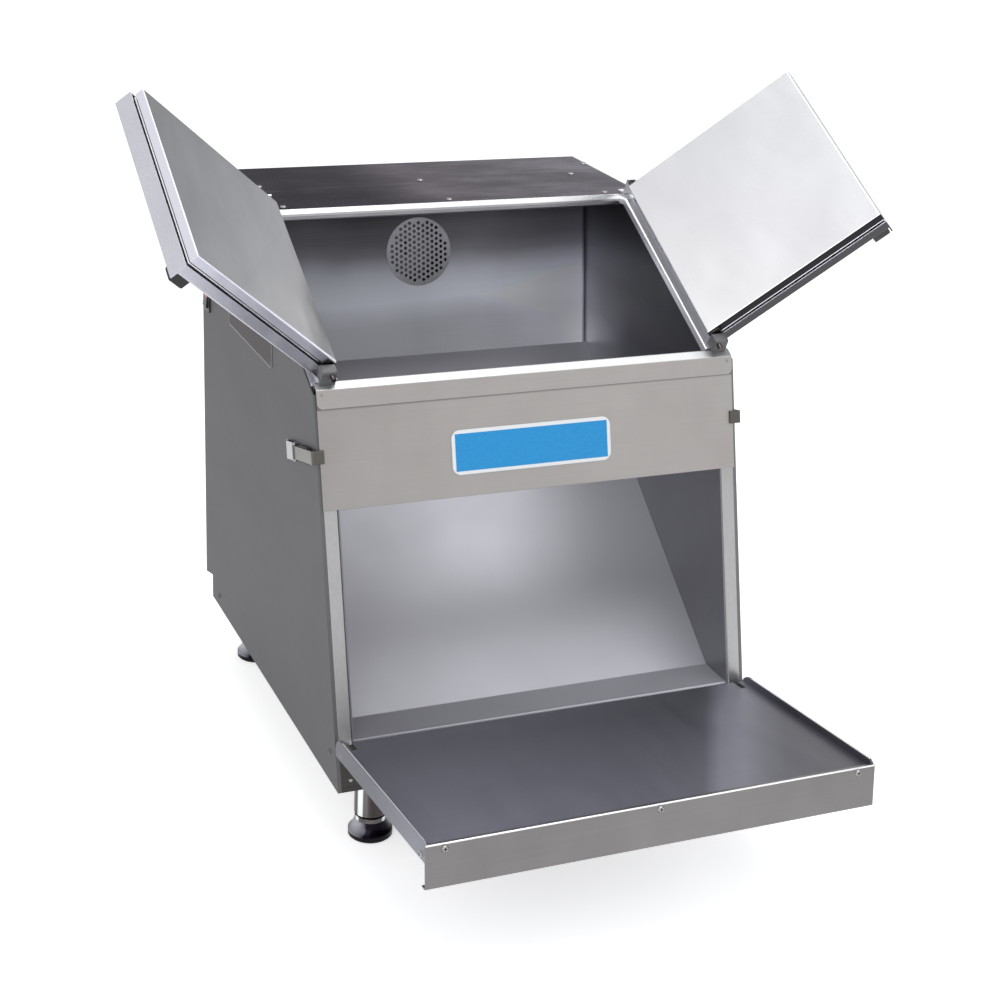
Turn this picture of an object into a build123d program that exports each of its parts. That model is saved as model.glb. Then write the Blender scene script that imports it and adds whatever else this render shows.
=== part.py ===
from build123d import *
import math
import os

# Countertop chip warmer: a folded-sheet hopper on four legs, with two lids that open
# sideways over the slanted top, and a tray that folds down under the front opening.
# Millimetres. +Z is up, the front faces -Y, and the origin is on the floor, in the
# middle of the four feet.

os.makedirs("parts", exist_ok=True)

# Sheet metal and clearances
sheet = 1.5              # thickness of every folded sheet
fold_radius = 2.0        # outside radius of a fold
moving_gap = 0.5         # between a moving piece and what it passes
running_gap = 0.05       # radial, a pin in its hole

# Body
body_width = 470.0
body_depth = 532.0
leg_height = 80.0        # floor to the underside of the body
lean_angle = 14.0        # the front leans back from upright
front_length = 410.0     # up the leaning front, from the underside to the rail's corner
edge_return = 4.0        # width of the side panel's folded front edge
edge_radius = 1.2        # outside radius of that fold
back_return = 15.0       # width of the side panel's folded back edge
notch_depth = 28.5       # the back steps in over the lowest part of the body
notch_height = 22.0
notch_rise = 7.0
base_turn = 14.0         # base pan's turned-up front edge

# Slanted top opening
rail_depth = 8.5         # the rail's top runs back and up to the rim
rail_rise = 7.3
rail_face = 19.0         # height of the rail's front face
rail_lip = 16.0          # rear lip that hangs into the hopper
rail_corner = 6.0        # rounded lower corners of the face
rim_slope = 28.1
rim_shortfall = 4.2      # the rim ends short of the lids' inner skins
rim_overhang = 9.0       # the rim stands this far in over the hopper
rim_lip = 8.0
rim_flange_drop = 7.5
edge_drop = 5.5          # side panel's slanted edge, under the rim

# Hood
deck_flat = 13.8         # level stretch between the rim's end and the hood
hood_lift = 2.2          # hood's front edge above that stretch
hood_rise = 3.0          # front to back
hood_lip = 8.5
hood_hem = 12.0
channel_setback = 2.5    # stiffening channel behind the hood's lip
channel_step = 5.7       # and how far it shows below it
channel_flange = 14.0

# Hopper
hopper_inset = 20.0      # inner wall, in from the side panel's outer face
sill_length = 52.5       # sill, up the leaning front
sill_lip = 12.0
sill_depth = 46.0
chute_angle = 36.8
back_space = 112.0       # room for the blower behind the hopper
wall_lean = 8.0
wall_flange = 14.0
liner_margin = 12.0      # the side walls run on past the floor and the back wall
grille_radius = 40.0
grille_height = 122.0    # centre, up the back wall
hole_pitch = 6.35
hole_radius = 2.0
hole_sides = 6
hole_margin = 2.4        # solid ring round the holes

# Front
kick_length = 48.0
post_depth = 16.0
fascia_height = 118.9
fascia_inset = 3.0       # its ends, in from the side panels' outer faces
fascia_hem = 12.0
badge_width = 178.0
badge_height = 46.0
badge_centre = -4.0
badge_drop = 56.0        # its middle, below the rail's face
badge_corner = 9.0
badge_thickness = 1.0

# Plate on the left panel
plate_length = 172.0
plate_corner_share = 8    # of the label's height in its corner radius
plate_height = 34.0
plate_corner = plate_height / plate_corner_share
plate_setback = 326.0    # its middle, behind the foot of the leaning front
plate_drop = 129.1       # and below the hood
plate_thickness = 0.8

# Lids
lid_start = 8.6          # inner pan, up the slope from the rim's front end
lid_length = 239.3
lid_side_inset = 16.0    # closed lid, in from the side panel's outer face
lid_inner_depth = 10.0
lid_seam = 4.5
lid_outer_depth = 12.5
lid_front_overhang = 1.2
lid_back_overhang = 8.7
lid_edge_radius = 2.0
core_setback = 3.0
pull_height = 7.0        # upstand along the free edge
pivot_inset = 3.5        # hinge line, in from the lid's edge
pivot_rise = 8.9         # and out from its inner face
lid_gap = 2.1            # closed inner face above the rim
lid_centre_gap = 2.0     # between the closed lids
left_open_angle = 135.5
right_open_angle = 133.6
lid_pin_radius = 2.5
ear_width = 13.0
ear_height = 12.0
ear_thickness = 1.2
bumper_width = 18.5
bumper_length = 17.0
bumper_height = 11.5
bumper_inset = 3.0
block_width = 15.5
block_margin = 5.0       # block or bracket round the pin
block_length = 13.0
bracket_foot = 14.0
bracket_thickness = 2.0

# Tray
tray_rise = 6.2          # degrees, the open tray climbs towards its front
hinge_along = 42.8       # hinge line, up the leaning front
hinge_out = 16.5         # and in front of it
tray_wall_top = 16.0     # above the hinge line
tray_wall_bottom = -5.0
tray_wall = 2.5
tray_floor_top = 8.6
tray_length = 240.8      # hinge line to the front flange
tray_heel = 11.5         # floor behind the hinge line
tray_front_top = 12.0
tray_front_height = 43.5
tray_hem = 9.0
tray_corner_cut = 5.3    # side walls slope down to the front flange
tray_top_hem = 3.5
tray_pin_radius = 3.0
tray_pin_length = 19.0
hinge_ear_radius = 6.3
hinge_ear_thickness = 3.0
hinge_ear_offset = 11.0  # from the side panel's outer face to the ear
hinge_plate_width = 18.0
hinge_plate_length = 27.0
tray_notch_gap = 1.5     # tray's floor either side of a hinge ear

# Latches
latch_drop = 66.0        # its middle, below the rail's corner
latch_width = 13.5
latch_pivot_depth = 60.0
latch_standoff = 4.5
hook_reach = 13.0
grip_width = 17.0
grip_start = 17.0
grip_length = 28.0
curl_radius = 2.6
latch_pin_radius = 1.3
latch_foot = 98.0        # back end of the latch base
latch_hat = 3.5
lug_thickness = 2.0
latch_fold = 0.8

# Rocker switch
switch_inset = 23.0      # its middle, in front of the back panel
switch_drop = 141.1      # and below the hood
switch_width = 24.0
switch_height = 33.0
switch_flange = 2.0
switch_wall = 2.2
switch_body_depth = 18.0
switch_border = 1.8
rocker_angle = 7.0
rocker_pin_radius = 1.0
rocker_sunk = 3.0        # behind its pin
rocker_stand = 3.4       # in front of the flange
lens_depth = 1.2

# Blower and electrical pieces
blower_radius = 52.0
blower_depth = 38.0
outlet_width = 46.0
outlet_length = 20.0
motor_radius = 29.0
motor_length = 32.0
shaft_radius = 4.0
wheel_radius = 43.0
wheel_depth = 26.0
blade_count = 14
blade_length = 12.0
blade_angle = 40.0
heater_width = 190.0
heater_depth = 64.0
heater_height = 46.0
heater_z = 340.0
element_width = 38.0     # flat strip element, on edge across the frame
element_thickness = 9.0
post_radius = 3.0        # its two terminal posts
post_length = 14.0
post_inset = 24.0
control_x = 110.0        # thermostat and terminal block, either side of the middle
control_inset = 110.0
control_width = 44.0
control_depth = 34.0
control_height = 28.0
dial_radius = 12.0
dial_height = 10.0
terminal_depth = 24.0
terminal_height = 20.0
well_count = 5
well_pitch = 12.0
well_depth = 8.0
gland_x = 150.0
gland_rise = 62.0        # above the underside of the body
gland_radius = 11.0
gland_nut_sides = 6
gland_neck_share = 0.7    # neck radius against the nut's
gland_nut = 6.0
gland_sleeve = 14.0
gland_taper_angle = 8.0
louvre_width = 120.0
louvre_pitch = 16.0
louvre_count = 6
louvre_drop = 8.0
louvre_depth = 5.0

# Legs
leg_inset_side = 50.0    # leg centres, in from the side panels' faces
leg_inset_front = 42.0   # behind the foot of the leaning front
leg_inset_back = 19.0    # in front of the step at the back
barrel_radius = 17.5
barrel_length = 53.0
barrel_cap = 8.0
barrel_edge = 1.2
foot_radius = 23.6
foot_neck_radius = 16.8
foot_height = 25.5
foot_band = 8.0
foot_edge = 2.0
stem_radius = 6.0
stem_length = 38.0

# Screws
head_radius = 3.6
head_height = 1.6
head_taper_angle = 35.0
head_sides = 12
hood_row_front = 11.0    # behind the hood's front edge
hood_row_back = 90.5     # in front of the back
hood_row_side = 41.5
hood_row_inset = 43.0    # in from the sides
side_screw_start = 38.5  # up the leaning front
side_screw_in = 22.0     # and behind it
side_screw_setback = 60.0
side_screw_rise = 14.0
kick_screw_inset = 55.0
kick_screw_start = 9.0
back_screw_low = 12.0    # above the step
back_screw_high = 30.0   # below the hood
tray_screw_drop = 5.5
tray_screw_inset = 19.0


# --------------------------------------------------------------- shared places

body_half = body_width / 2
inner_half = body_half - sheet
leg_x = body_half - leg_inset_side
base_depth = body_depth - sheet - notch_depth
leg_y = (base_depth - leg_inset_front - leg_inset_back) / 2
body_front = -leg_y - leg_inset_front
body_back = body_front + body_depth
panel_back = body_back - sheet
bend_clear = fold_radius - sheet
plate_y = body_front + plate_setback
gland_z = leg_height + gland_rise
gland_neck = gland_neck_share * gland_radius
switch_y = body_back - switch_inset
liner_inner = body_half - hopper_inset
liner_outer = liner_inner + sheet
rim_outer = liner_outer + sheet
rim_inner = liner_inner - rim_overhang
post_outer = body_half - edge_return
fascia_half = body_half - fascia_inset
fascia_start = front_length - sheet - fascia_height
badge_along = front_length - rail_face - badge_drop
latch_start = front_length - latch_drop
lid_width = body_half - lid_side_inset - lid_centre_gap / 2
rim_length = lid_start + lid_length - rim_shortfall

lean_sin = math.sin(math.radians(lean_angle))
lean_cos = math.cos(math.radians(lean_angle))
rim_sin = math.sin(math.radians(rim_slope))
rim_cos = math.cos(math.radians(rim_slope))
wall_sin = math.sin(math.radians(wall_lean))
wall_cos = math.cos(math.radians(wall_lean))
chute_sin = math.sin(math.radians(chute_angle))
chute_cos = math.cos(math.radians(chute_angle))


def front_point(along, out=0.0):
    """(y, z) a distance up the leaning front and a distance in front of it."""
    return (
        body_front + along * lean_sin - out * lean_cos,
        leg_height + along * lean_cos + out * lean_sin,
    )


def front_plane(out=0.0):
    """Plane on the leaning front: x across, y up the slope, z forwards."""
    y, z = front_point(0, out)
    return Plane(origin=(0, y, z), x_dir=(1, 0, 0), z_dir=(0, -lean_cos, lean_sin))


def level_plane(along):
    """Plane across the leaning front: x across, y back into the body, z up the slope."""
    y, z = front_point(along)
    return Plane(origin=(0, y, z), x_dir=(1, 0, 0), z_dir=(0, lean_sin, lean_cos))


corner_y, corner_z = front_point(front_length, 2 * sheet)
rim_y = front_point(front_length)[0] + rail_depth
rim_z = front_point(front_length)[1] + rail_rise


def rim_point(along, above=0.0):
    """(y, z) a distance up the slanted rim and a distance above it."""
    return (
        rim_y + along * rim_cos - above * rim_sin,
        rim_z + along * rim_sin + above * rim_cos,
    )


deck_y, deck_z = rim_point(rim_length)
hood_y = deck_y + deck_flat
hood_z = deck_z + hood_lift
hood_pitch = hood_rise / (body_back - hood_y)
hood_drop = sheet * math.sqrt(1 + hood_pitch**2)
plate_z = hood_z - plate_drop
switch_z = hood_z - switch_drop


def hood_top(y):
    """Height of the hood's top face."""
    return hood_z + (y - hood_y) * hood_pitch


def hood_under(y):
    """Height of the hood's lower face."""
    return hood_top(y) - hood_drop


panel_length = front_length + (
    (rail_rise * rim_cos - rail_depth * rim_sin - edge_drop)
    / math.cos(math.radians(lean_angle + rim_slope))
)
panel_run = rim_length + (hood_lift - hood_drop + edge_drop * rim_cos) / rim_sin

sill_y, sill_z = front_point(sill_length, -sheet)
knee_y = sill_y + sill_depth
chute_run = body_back - back_space - knee_y
chute_end = (knee_y + chute_run, sill_z + chute_run * chute_sin / chute_cos)
wall_y = chute_end[0] + sheet * chute_sin + 2 * bend_clear * chute_cos
wall_z = chute_end[1] - sheet * chute_cos + 2 * bend_clear * chute_sin
wall_height = (hood_under(wall_y) - wall_z) / (wall_cos - hood_pitch * wall_sin)
wall_top = (wall_y + wall_height * wall_sin, wall_z + wall_height * wall_cos)


def wall_plane(behind=0.0):
    """Plane on the hopper's back wall: x across, y up the wall, z forwards."""
    origin = (0, wall_y + behind * wall_cos, wall_z - behind * wall_sin)
    return Plane(origin=origin, x_dir=(1, 0, 0), z_dir=(0, -wall_cos, wall_sin))


# Lid hinge lines, either side of the middle and above the rim
pivot_x = lid_centre_gap / 2 + lid_width - pivot_inset
pivot_above = lid_gap + pivot_rise
lid_depth = lid_inner_depth + lid_seam + lid_outer_depth
lid_front = lid_start - lid_front_overhang
lid_back = lid_start + lid_length + lid_back_overhang
block_end = lid_front - moving_gap
bracket_start = lid_back + moving_gap
bracket_end = bracket_start + bracket_thickness


def lid_vectors(angle):
    """Directions across and out of a left lid that is open by an angle."""
    turn = math.radians(angle)
    upright = Vector(0, -rim_sin, rim_cos)
    sideways = Vector(1, 0, 0)
    across = sideways * math.cos(turn) + upright * math.sin(turn)
    outwards = upright * math.cos(turn) - sideways * math.sin(turn)
    return across, outwards


def lid_origin(angle, along):
    """Hinge-side corner of a left lid's inner face, a distance up the slope."""
    across, outwards = lid_vectors(angle)
    y, z = rim_point(along, pivot_above)
    return Vector(-pivot_x, y, z) - across * pivot_inset - outwards * pivot_rise


def lid_plane(angle, out=0.0):
    """Plane on a left lid: x across from the hinge, y up the slope, z outwards."""
    across, outwards = lid_vectors(angle)
    return Plane(origin=lid_origin(angle, 0) + outwards * out, x_dir=across, z_dir=outwards)


def lid_end_plane(angle, along):
    """Plane square to a left lid's hinge line: x across, y outwards, z down the slope."""
    across, outwards = lid_vectors(angle)
    down = Vector(0, -rim_cos, -rim_sin)
    return Plane(origin=lid_origin(angle, along), x_dir=across, z_dir=down)


def slope_plane(along):
    """Plane square to the rim: x across, y above the rim, z down the slope."""
    y, z = rim_point(along)
    return Plane(origin=(0, y, z), x_dir=(1, 0, 0), z_dir=(0, -rim_cos, -rim_sin))


tray_sin = math.sin(math.radians(tray_rise))
tray_cos = math.cos(math.radians(tray_rise))
tray_pivot_y, tray_pivot_z = front_point(hinge_along, hinge_out)
ear_outer = body_half - hinge_ear_offset
ear_inner = ear_outer - hinge_ear_thickness


def tray_side(x):
    """Plane beside the tray: x from the hinge to the front, y above, z to the left."""
    return Plane(
        origin=(x, tray_pivot_y, tray_pivot_z),
        x_dir=(0, -tray_cos, tray_sin),
        z_dir=(-1, 0, 0),
    )


def tray_level(above):
    """Plane along the tray: x across, y back to the hinge, z up."""
    y = tray_pivot_y + above * tray_sin
    z = tray_pivot_z + above * tray_cos
    return Plane(origin=(0, y, z), x_dir=(1, 0, 0), z_dir=(0, tray_sin, tray_cos))


def bent_strip(points, plane=Plane.YZ, side=Side.RIGHT, radius=fold_radius):
    """Section of a folded sheet, from the line of one of its faces."""
    with BuildSketch(plane) as strip:
        with BuildLine():
            FilletPolyline(*points, radius=radius)
            offset(amount=sheet, side=side)
        make_face()
    return strip.sketch


def screw_heads(plane, places):
    """Bases of screw heads at places on a plane."""
    with BuildSketch(plane) as heads:
        with Locations(*places):
            RegularPolygon(head_radius, head_sides)
    return heads.sketch


def finish(piece, name):
    """Name a piece and write it."""
    piece.part.label = name
    export_step(piece.part, f"parts/{name}.step")


# ------------------------------------------------------------------- body shell


def side_panel(side, switched):
    """Side panel with its folded front and back edges."""
    back_low = (panel_back, leg_height + notch_height)
    step_y = panel_back - notch_depth
    top_y = rim_point(panel_run, -edge_drop)[0]
    outline = [
        front_point(0),
        front_point(panel_length),
        (top_y, hood_under(top_y)),
        (panel_back, hood_under(panel_back)),
        back_low,
        (step_y, leg_height + notch_height + notch_rise),
        (step_y, leg_height),
    ]
    with BuildPart() as panel:
        with BuildSketch(Plane.YZ.offset(-body_half)):
            with BuildLine():
                Polyline(*outline, close=True)
            make_face()
        extrude(amount=sheet)
        with BuildSketch(front_plane()):
            with Locations((-body_half + edge_return / 2, panel_length / 2)):
                Rectangle(edge_return, panel_length)
        extrude(amount=-sheet)
        with BuildSketch(Plane.XZ.offset(-panel_back)):
            with BuildLine():
                Polyline(
                    (-body_half, back_low[1]),
                    (-body_half, hood_under(panel_back)),
                    (-inner_half + back_return, hood_under(panel_back) - back_return),
                    (-inner_half + back_return, back_low[1] + back_return),
                    close=True,
                )
            make_face()
        extrude(amount=sheet)
        if switched:
            with BuildSketch(Plane.YZ.offset(-body_half)):
                with Locations((switch_y, switch_z)):
                    Rectangle(switch_width - 2 * switch_border, switch_height - 2 * switch_border)
            extrude(amount=sheet, mode=Mode.SUBTRACT)
        leaning = panel.edges().filter_by(Axis(front_plane().origin, front_plane().y_dir))
        front_fold = leaning.group_by(Axis.X)[0].sort_by(Axis.Y)[0]
        fillet(front_fold, radius=edge_radius)
        if side > 0:
            mirror(about=Plane.YZ, mode=Mode.REPLACE)
    return panel


def base_pan():
    """Floor of the body, turned up at the front and back."""
    start_y = body_front + sheet / lean_cos
    step_y = panel_back - notch_depth
    points = [
        (start_y + base_turn * lean_sin, leg_height + base_turn * lean_cos),
        (start_y, leg_height),
        (step_y, leg_height),
        (step_y, leg_height + notch_height + notch_rise - sheet),
    ]
    with BuildPart() as pan:
        extrude(bent_strip(points, side=Side.LEFT), amount=inner_half, both=True)
    return pan


def back_panel():
    """Back sheet with louvres, and a flange that closes the step above the base."""
    low = leg_height + notch_height
    high = hood_under(panel_back) - bend_clear
    flange_half = inner_half - back_return
    step = [
        (panel_back - notch_depth, low + notch_rise),
        (body_back, low),
        (body_back, low + 2 * back_return),
    ]
    louvre_z = wall_z + grille_height - (louvre_count - 1) * louvre_pitch / 2
    with BuildPart() as panel:
        with BuildSketch(Plane.XZ.offset(-body_back)):
            with Locations((0, (low + high) / 2)):
                Rectangle(body_width, high - low)
        extrude(amount=sheet)
        extrude(bent_strip(step, side=Side.LEFT), amount=flange_half, both=True)
        for row in range(louvre_count):
            z = louvre_z + row * louvre_pitch
            with BuildSketch(Plane.XZ.offset(-body_back)):
                with Locations((0, z)):
                    Rectangle(louvre_width, louvre_drop)
            extrude(amount=sheet, mode=Mode.SUBTRACT)
            with BuildSketch(Plane.YZ):
                with BuildLine():
                    Polyline(
                        (panel_back, z + louvre_drop / 2),
                        (body_back + louvre_depth - sheet, z - louvre_drop / 2),
                        (body_back + louvre_depth, z - louvre_drop / 2),
                        (body_back, z + louvre_drop / 2 + sheet),
                        (panel_back, z + louvre_drop / 2 + sheet),
                        close=True,
                    )
                make_face()
            extrude(amount=louvre_width / 2, both=True)
        with BuildSketch(Plane.XZ.offset(-body_back)):
            with Locations((gland_x, gland_z)):
                Circle(gland_neck)
        extrude(amount=sheet, mode=Mode.SUBTRACT)
    return panel


def hood():
    """Top sheet with a front lip and a hem over the back panel."""
    rear = body_back + sheet
    lipped = [
        (hood_y, hood_top(hood_y) - hood_lip),
        (hood_y, hood_top(hood_y)),
        (rear, hood_top(rear)),
        (rear, hood_top(rear) - hood_hem),
    ]
    with BuildPart() as top:
        extrude(bent_strip(lipped), amount=inner_half, both=True)
        extrude(bent_strip(lipped[1:]), amount=body_half, both=True)
    return top


def hood_channel():
    """Stiffening channel under the hood, just behind its front lip."""
    face = hood_y + sheet + channel_setback
    low = hood_top(hood_y) - hood_lip - channel_step
    points = [
        (face + channel_flange, low),
        (face, low),
        (face, hood_under(face)),
        (face + channel_flange, hood_under(face + channel_flange)),
    ]
    with BuildPart() as channel:
        extrude(bent_strip(points), amount=liner_inner, both=True)
    return channel


# ------------------------------------------------------------------------ hopper


def liner_wall(side):
    """Inner side wall of the hopper."""
    lip_low = hood_top(hood_y) - hood_lip
    inside = hood_y + sheet + 2 * bend_clear
    top = sheet + bend_clear
    rail_clear = front_point(front_length - rail_face - fold_radius)
    rear = wall_top[0] + liner_margin
    outline = [
        front_point(kick_length),
        rail_clear,
        (rim_y, rail_clear[1]),
        (rim_y, rim_z - top / rim_cos),
        (deck_y + top * math.tan(math.radians(rim_slope / 2)), deck_z - top),
        (hood_y, deck_z - top),
        (hood_y, lip_low),
        (inside, lip_low),
        (inside, hood_under(inside)),
        (rear, hood_under(rear)),
        (chute_end[0] + liner_margin, chute_end[1] - liner_margin),
        (knee_y + liner_margin, sill_z - liner_margin),
        front_point(kick_length, -2 * sheet),
    ]
    with BuildPart() as wall:
        with BuildSketch(Plane.YZ.offset(-liner_outer)):
            with BuildLine():
                Polyline(*outline, close=True)
            make_face()
        extrude(amount=sheet)
        if side > 0:
            mirror(about=Plane.YZ, mode=Mode.REPLACE)
    return wall


def chute_floor():
    """Sloping floor that feeds the front opening, with a short level sill."""
    points = [
        front_point(sill_length - sill_lip, -sheet),
        (sill_y, sill_z),
        (knee_y, sill_z),
        chute_end,
    ]
    with BuildPart() as chute:
        extrude(bent_strip(points), amount=liner_inner, both=True)
    return chute


def hopper_back_wall():
    """Back wall, flanged under the chute and under the hood, with the grille's opening."""
    points = [
        (wall_y - wall_flange * chute_cos, wall_z - wall_flange * chute_sin),
        (wall_y, wall_z),
        wall_top,
        (wall_top[0] + wall_flange, hood_under(wall_top[0] + wall_flange)),
    ]
    with BuildPart() as wall:
        extrude(bent_strip(points), amount=liner_inner, both=True)
        with BuildSketch(wall_plane()):
            with Locations((0, grille_height)):
                Circle(grille_radius)
        extrude(amount=-sheet, mode=Mode.SUBTRACT)
    return wall


def vent_grille():
    """Round perforated disc, its holes in staggered rows."""
    rows = 2 * round(grille_radius / hole_pitch) + 3
    reach = grille_radius - hole_margin - hole_radius
    with BuildPart() as grille:
        with BuildSketch(wall_plane()):
            with Locations((0, grille_height)):
                Circle(grille_radius)
            with HexLocations(hole_pitch / 2, rows, rows) as grid:
                centres = [spot.position for spot in grid.local_locations]
            inside = [(c.X, c.Y + grille_height) for c in centres if c.length < reach]
            with Locations(*inside):
                RegularPolygon(hole_radius, hole_sides, mode=Mode.SUBTRACT)
        extrude(amount=-sheet)
    return grille


def rim_channel(side):
    """Channel along one slanted side of the opening, level again before the hood."""
    section_plane = Plane(origin=(0, rim_y, rim_z), x_dir=(-1, 0, 0), z_dir=(0, rim_cos, rim_sin))
    section = [
        (rim_inner, -rim_lip),
        (rim_inner, 0),
        (rim_outer, 0),
        (rim_outer, -rim_flange_drop),
        (inner_half, -rim_flange_drop),
    ]
    with BuildPart() as channel:
        with BuildLine() as run:
            Polyline((0, rim_y, rim_z), (0, deck_y, deck_z), (0, hood_y, deck_z))
        strip = bent_strip(section, plane=section_plane)
        sweep(strip, path=run.line, transition=Transition.RIGHT)
        if side > 0:
            mirror(about=Plane.YZ, mode=Mode.REPLACE)
    return channel


# ------------------------------------------------------------------------- front


def front_rail():
    """Rail over the fascia: front face, slanted top and a lip into the hopper."""
    points = [
        front_point(front_length - rail_face, 2 * sheet),
        (corner_y, corner_z),
        (rim_y, rim_z),
        (rim_y, rim_z - rail_lip),
    ]
    with BuildPart() as rail:
        extrude(bent_strip(points), amount=fascia_half, both=True)
        short = rail.edges().filter_by(Axis((0, 0, 0), (0, -lean_cos, lean_sin)))
        low_corners = short.sort_by(Axis.Y)[0:4].sort_by(Axis.Z)[0:2]
        fillet(low_corners, radius=rail_corner)
    return rail


def fascia():
    """Flat sheet across the front, hemmed into the opening below."""
    with BuildPart() as face:
        with BuildSketch(front_plane()):
            with Locations((0, fascia_start + fascia_height / 2)):
                Rectangle(2 * fascia_half, fascia_height)
        extrude(amount=sheet)
        with BuildSketch(level_plane(fascia_start)):
            with Locations((0, (fascia_hem - sheet) / 2)):
                Rectangle(2 * liner_inner, fascia_hem + sheet)
        extrude(amount=sheet)
    return face


def badge_plate():
    """Bare plate on the fascia with rounded corners."""
    with BuildPart() as badge:
        with BuildSketch(front_plane(sheet)):
            with Locations((badge_centre, badge_along)):
                RectangleRounded(badge_width, badge_height, badge_corner)
        extrude(amount=badge_thickness)
    return badge


def label_plate():
    """Bare plate on the left side panel."""
    with BuildPart() as plate:
        with BuildSketch(Plane.YZ.offset(-body_half)):
            with Locations((plate_y, plate_z)):
                RectangleRounded(plate_length, plate_height, plate_corner)
        extrude(amount=-plate_thickness)
    return plate


def front_posts():
    """Angle posts either side of the front opening."""
    height = front_length - rail_face - kick_length
    section = [
        (-post_outer, 0),
        (-liner_outer, 0),
        (-liner_outer, post_depth),
    ]
    with BuildPart() as posts:
        strip = bent_strip(section, plane=level_plane(kick_length), side=Side.LEFT)
        extrude(strip, amount=height)
        mirror(about=Plane.YZ)
    return posts


def kick_plate():
    """Plate below the front opening."""
    with BuildPart() as kick:
        with BuildSketch(front_plane()):
            with Locations((0, kick_length / 2)):
                Rectangle(2 * post_outer, kick_length)
        extrude(amount=-sheet)
    return kick


def hinge_brackets():
    """Angle brackets on the kick plate that carry the tray's pins."""
    plate_low = kick_length - hinge_plate_length
    with BuildPart() as brackets:
        with BuildSketch(front_plane()):
            with Locations((-ear_outer + hinge_plate_width / 2, plate_low + hinge_plate_length / 2)):
                Rectangle(hinge_plate_width, hinge_plate_length)
        extrude(amount=sheet)
        side = Plane(
            origin=(-ear_inner, tray_pivot_y, tray_pivot_z),
            x_dir=(0, lean_cos, -lean_sin),
            z_dir=(-1, 0, 0),
        )
        with BuildSketch(side):
            with Locations((hinge_out / 2, 0)):
                Rectangle(hinge_out, 2 * hinge_ear_radius)
            Circle(hinge_ear_radius)
            Circle(tray_pin_radius + running_gap, mode=Mode.SUBTRACT)
        extrude(amount=hinge_ear_thickness)
        mirror(about=Plane.YZ)
    return brackets


# -------------------------------------------------------------------------- lids


def lid_inner_pan(side, angle):
    """Inner skin of a lid: a shallow pan, open towards the core."""
    middle = (lid_width / 2, lid_start + lid_length / 2)
    with BuildPart() as pan:
        with BuildSketch(lid_plane(angle)):
            with Locations(middle):
                Rectangle(lid_width, lid_length)
        extrude(amount=lid_inner_depth)
        axis = Axis(lid_plane(angle).origin, lid_plane(angle).z_dir)
        fillet(pan.faces().sort_by(axis)[0].edges(), radius=lid_edge_radius)
        with BuildSketch(lid_plane(angle, sheet)):
            with Locations(middle):
                Rectangle(lid_width - 2 * sheet, lid_length - 2 * sheet)
        extrude(amount=lid_inner_depth, mode=Mode.SUBTRACT)
        if side > 0:
            mirror(about=Plane.YZ, mode=Mode.REPLACE)
    return pan


def lid_core(side, angle):
    """Insulating core, seen as a recessed seam between the two skins."""
    with BuildPart() as core:
        with BuildSketch(lid_plane(angle, sheet)):
            with Locations((lid_width / 2, lid_start + lid_length / 2)):
                Rectangle(lid_width - 2 * core_setback, lid_length - 2 * core_setback)
        extrude(amount=lid_depth - 2 * sheet)
        if side > 0:
            mirror(about=Plane.YZ, mode=Mode.REPLACE)
    return core


def lid_outer_pan(side, angle):
    """Outer skin of a lid, longer than the inner one, with a pull lip."""
    length = lid_back - lid_front
    middle = (lid_width / 2, lid_front + length / 2)
    seam_end = lid_inner_depth + lid_seam
    with BuildPart() as pan:
        with BuildSketch(lid_plane(angle, seam_end)):
            with Locations(middle):
                Rectangle(lid_width, length)
        extrude(amount=lid_outer_depth)
        axis = Axis(lid_plane(angle).origin, lid_plane(angle).z_dir)
        outer = pan.faces().sort_by(axis)[-1]
        across = Axis(lid_plane(angle).origin, lid_plane(angle).x_dir)
        fillet(outer.edges().sort_by(across)[:-1], radius=lid_edge_radius)
        with BuildSketch(lid_plane(angle, seam_end)):
            with Locations(middle):
                Rectangle(lid_width - 2 * sheet, length - 2 * sheet)
        extrude(amount=lid_outer_depth - sheet, mode=Mode.SUBTRACT)
        with BuildSketch(lid_plane(angle, lid_depth - lid_edge_radius)):
            with Locations((lid_width - sheet / 2, lid_front + length / 2)):
                Rectangle(sheet, length)
        extrude(amount=pull_height + lid_edge_radius)
        if side > 0:
            mirror(about=Plane.YZ, mode=Mode.REPLACE)
    return pan


def lid_bumper(side, angle):
    """Rubber block on the outer skin at the lid's free front corner."""
    place = (
        lid_width - bumper_inset - bumper_width / 2,
        lid_front + lid_edge_radius + bumper_length / 2,
    )
    with BuildPart() as bumper:
        with BuildSketch(lid_plane(angle, lid_depth)):
            with Locations(place):
                RectangleRounded(bumper_width, bumper_length, sheet)
        extrude(amount=bumper_height)
        axis = Axis(lid_plane(angle).origin, lid_plane(angle).z_dir)
        chamfer(bumper.faces().sort_by(axis)[-1].edges(), length=sheet)
        if side > 0:
            mirror(about=Plane.YZ, mode=Mode.REPLACE)
    return bumper


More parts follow.
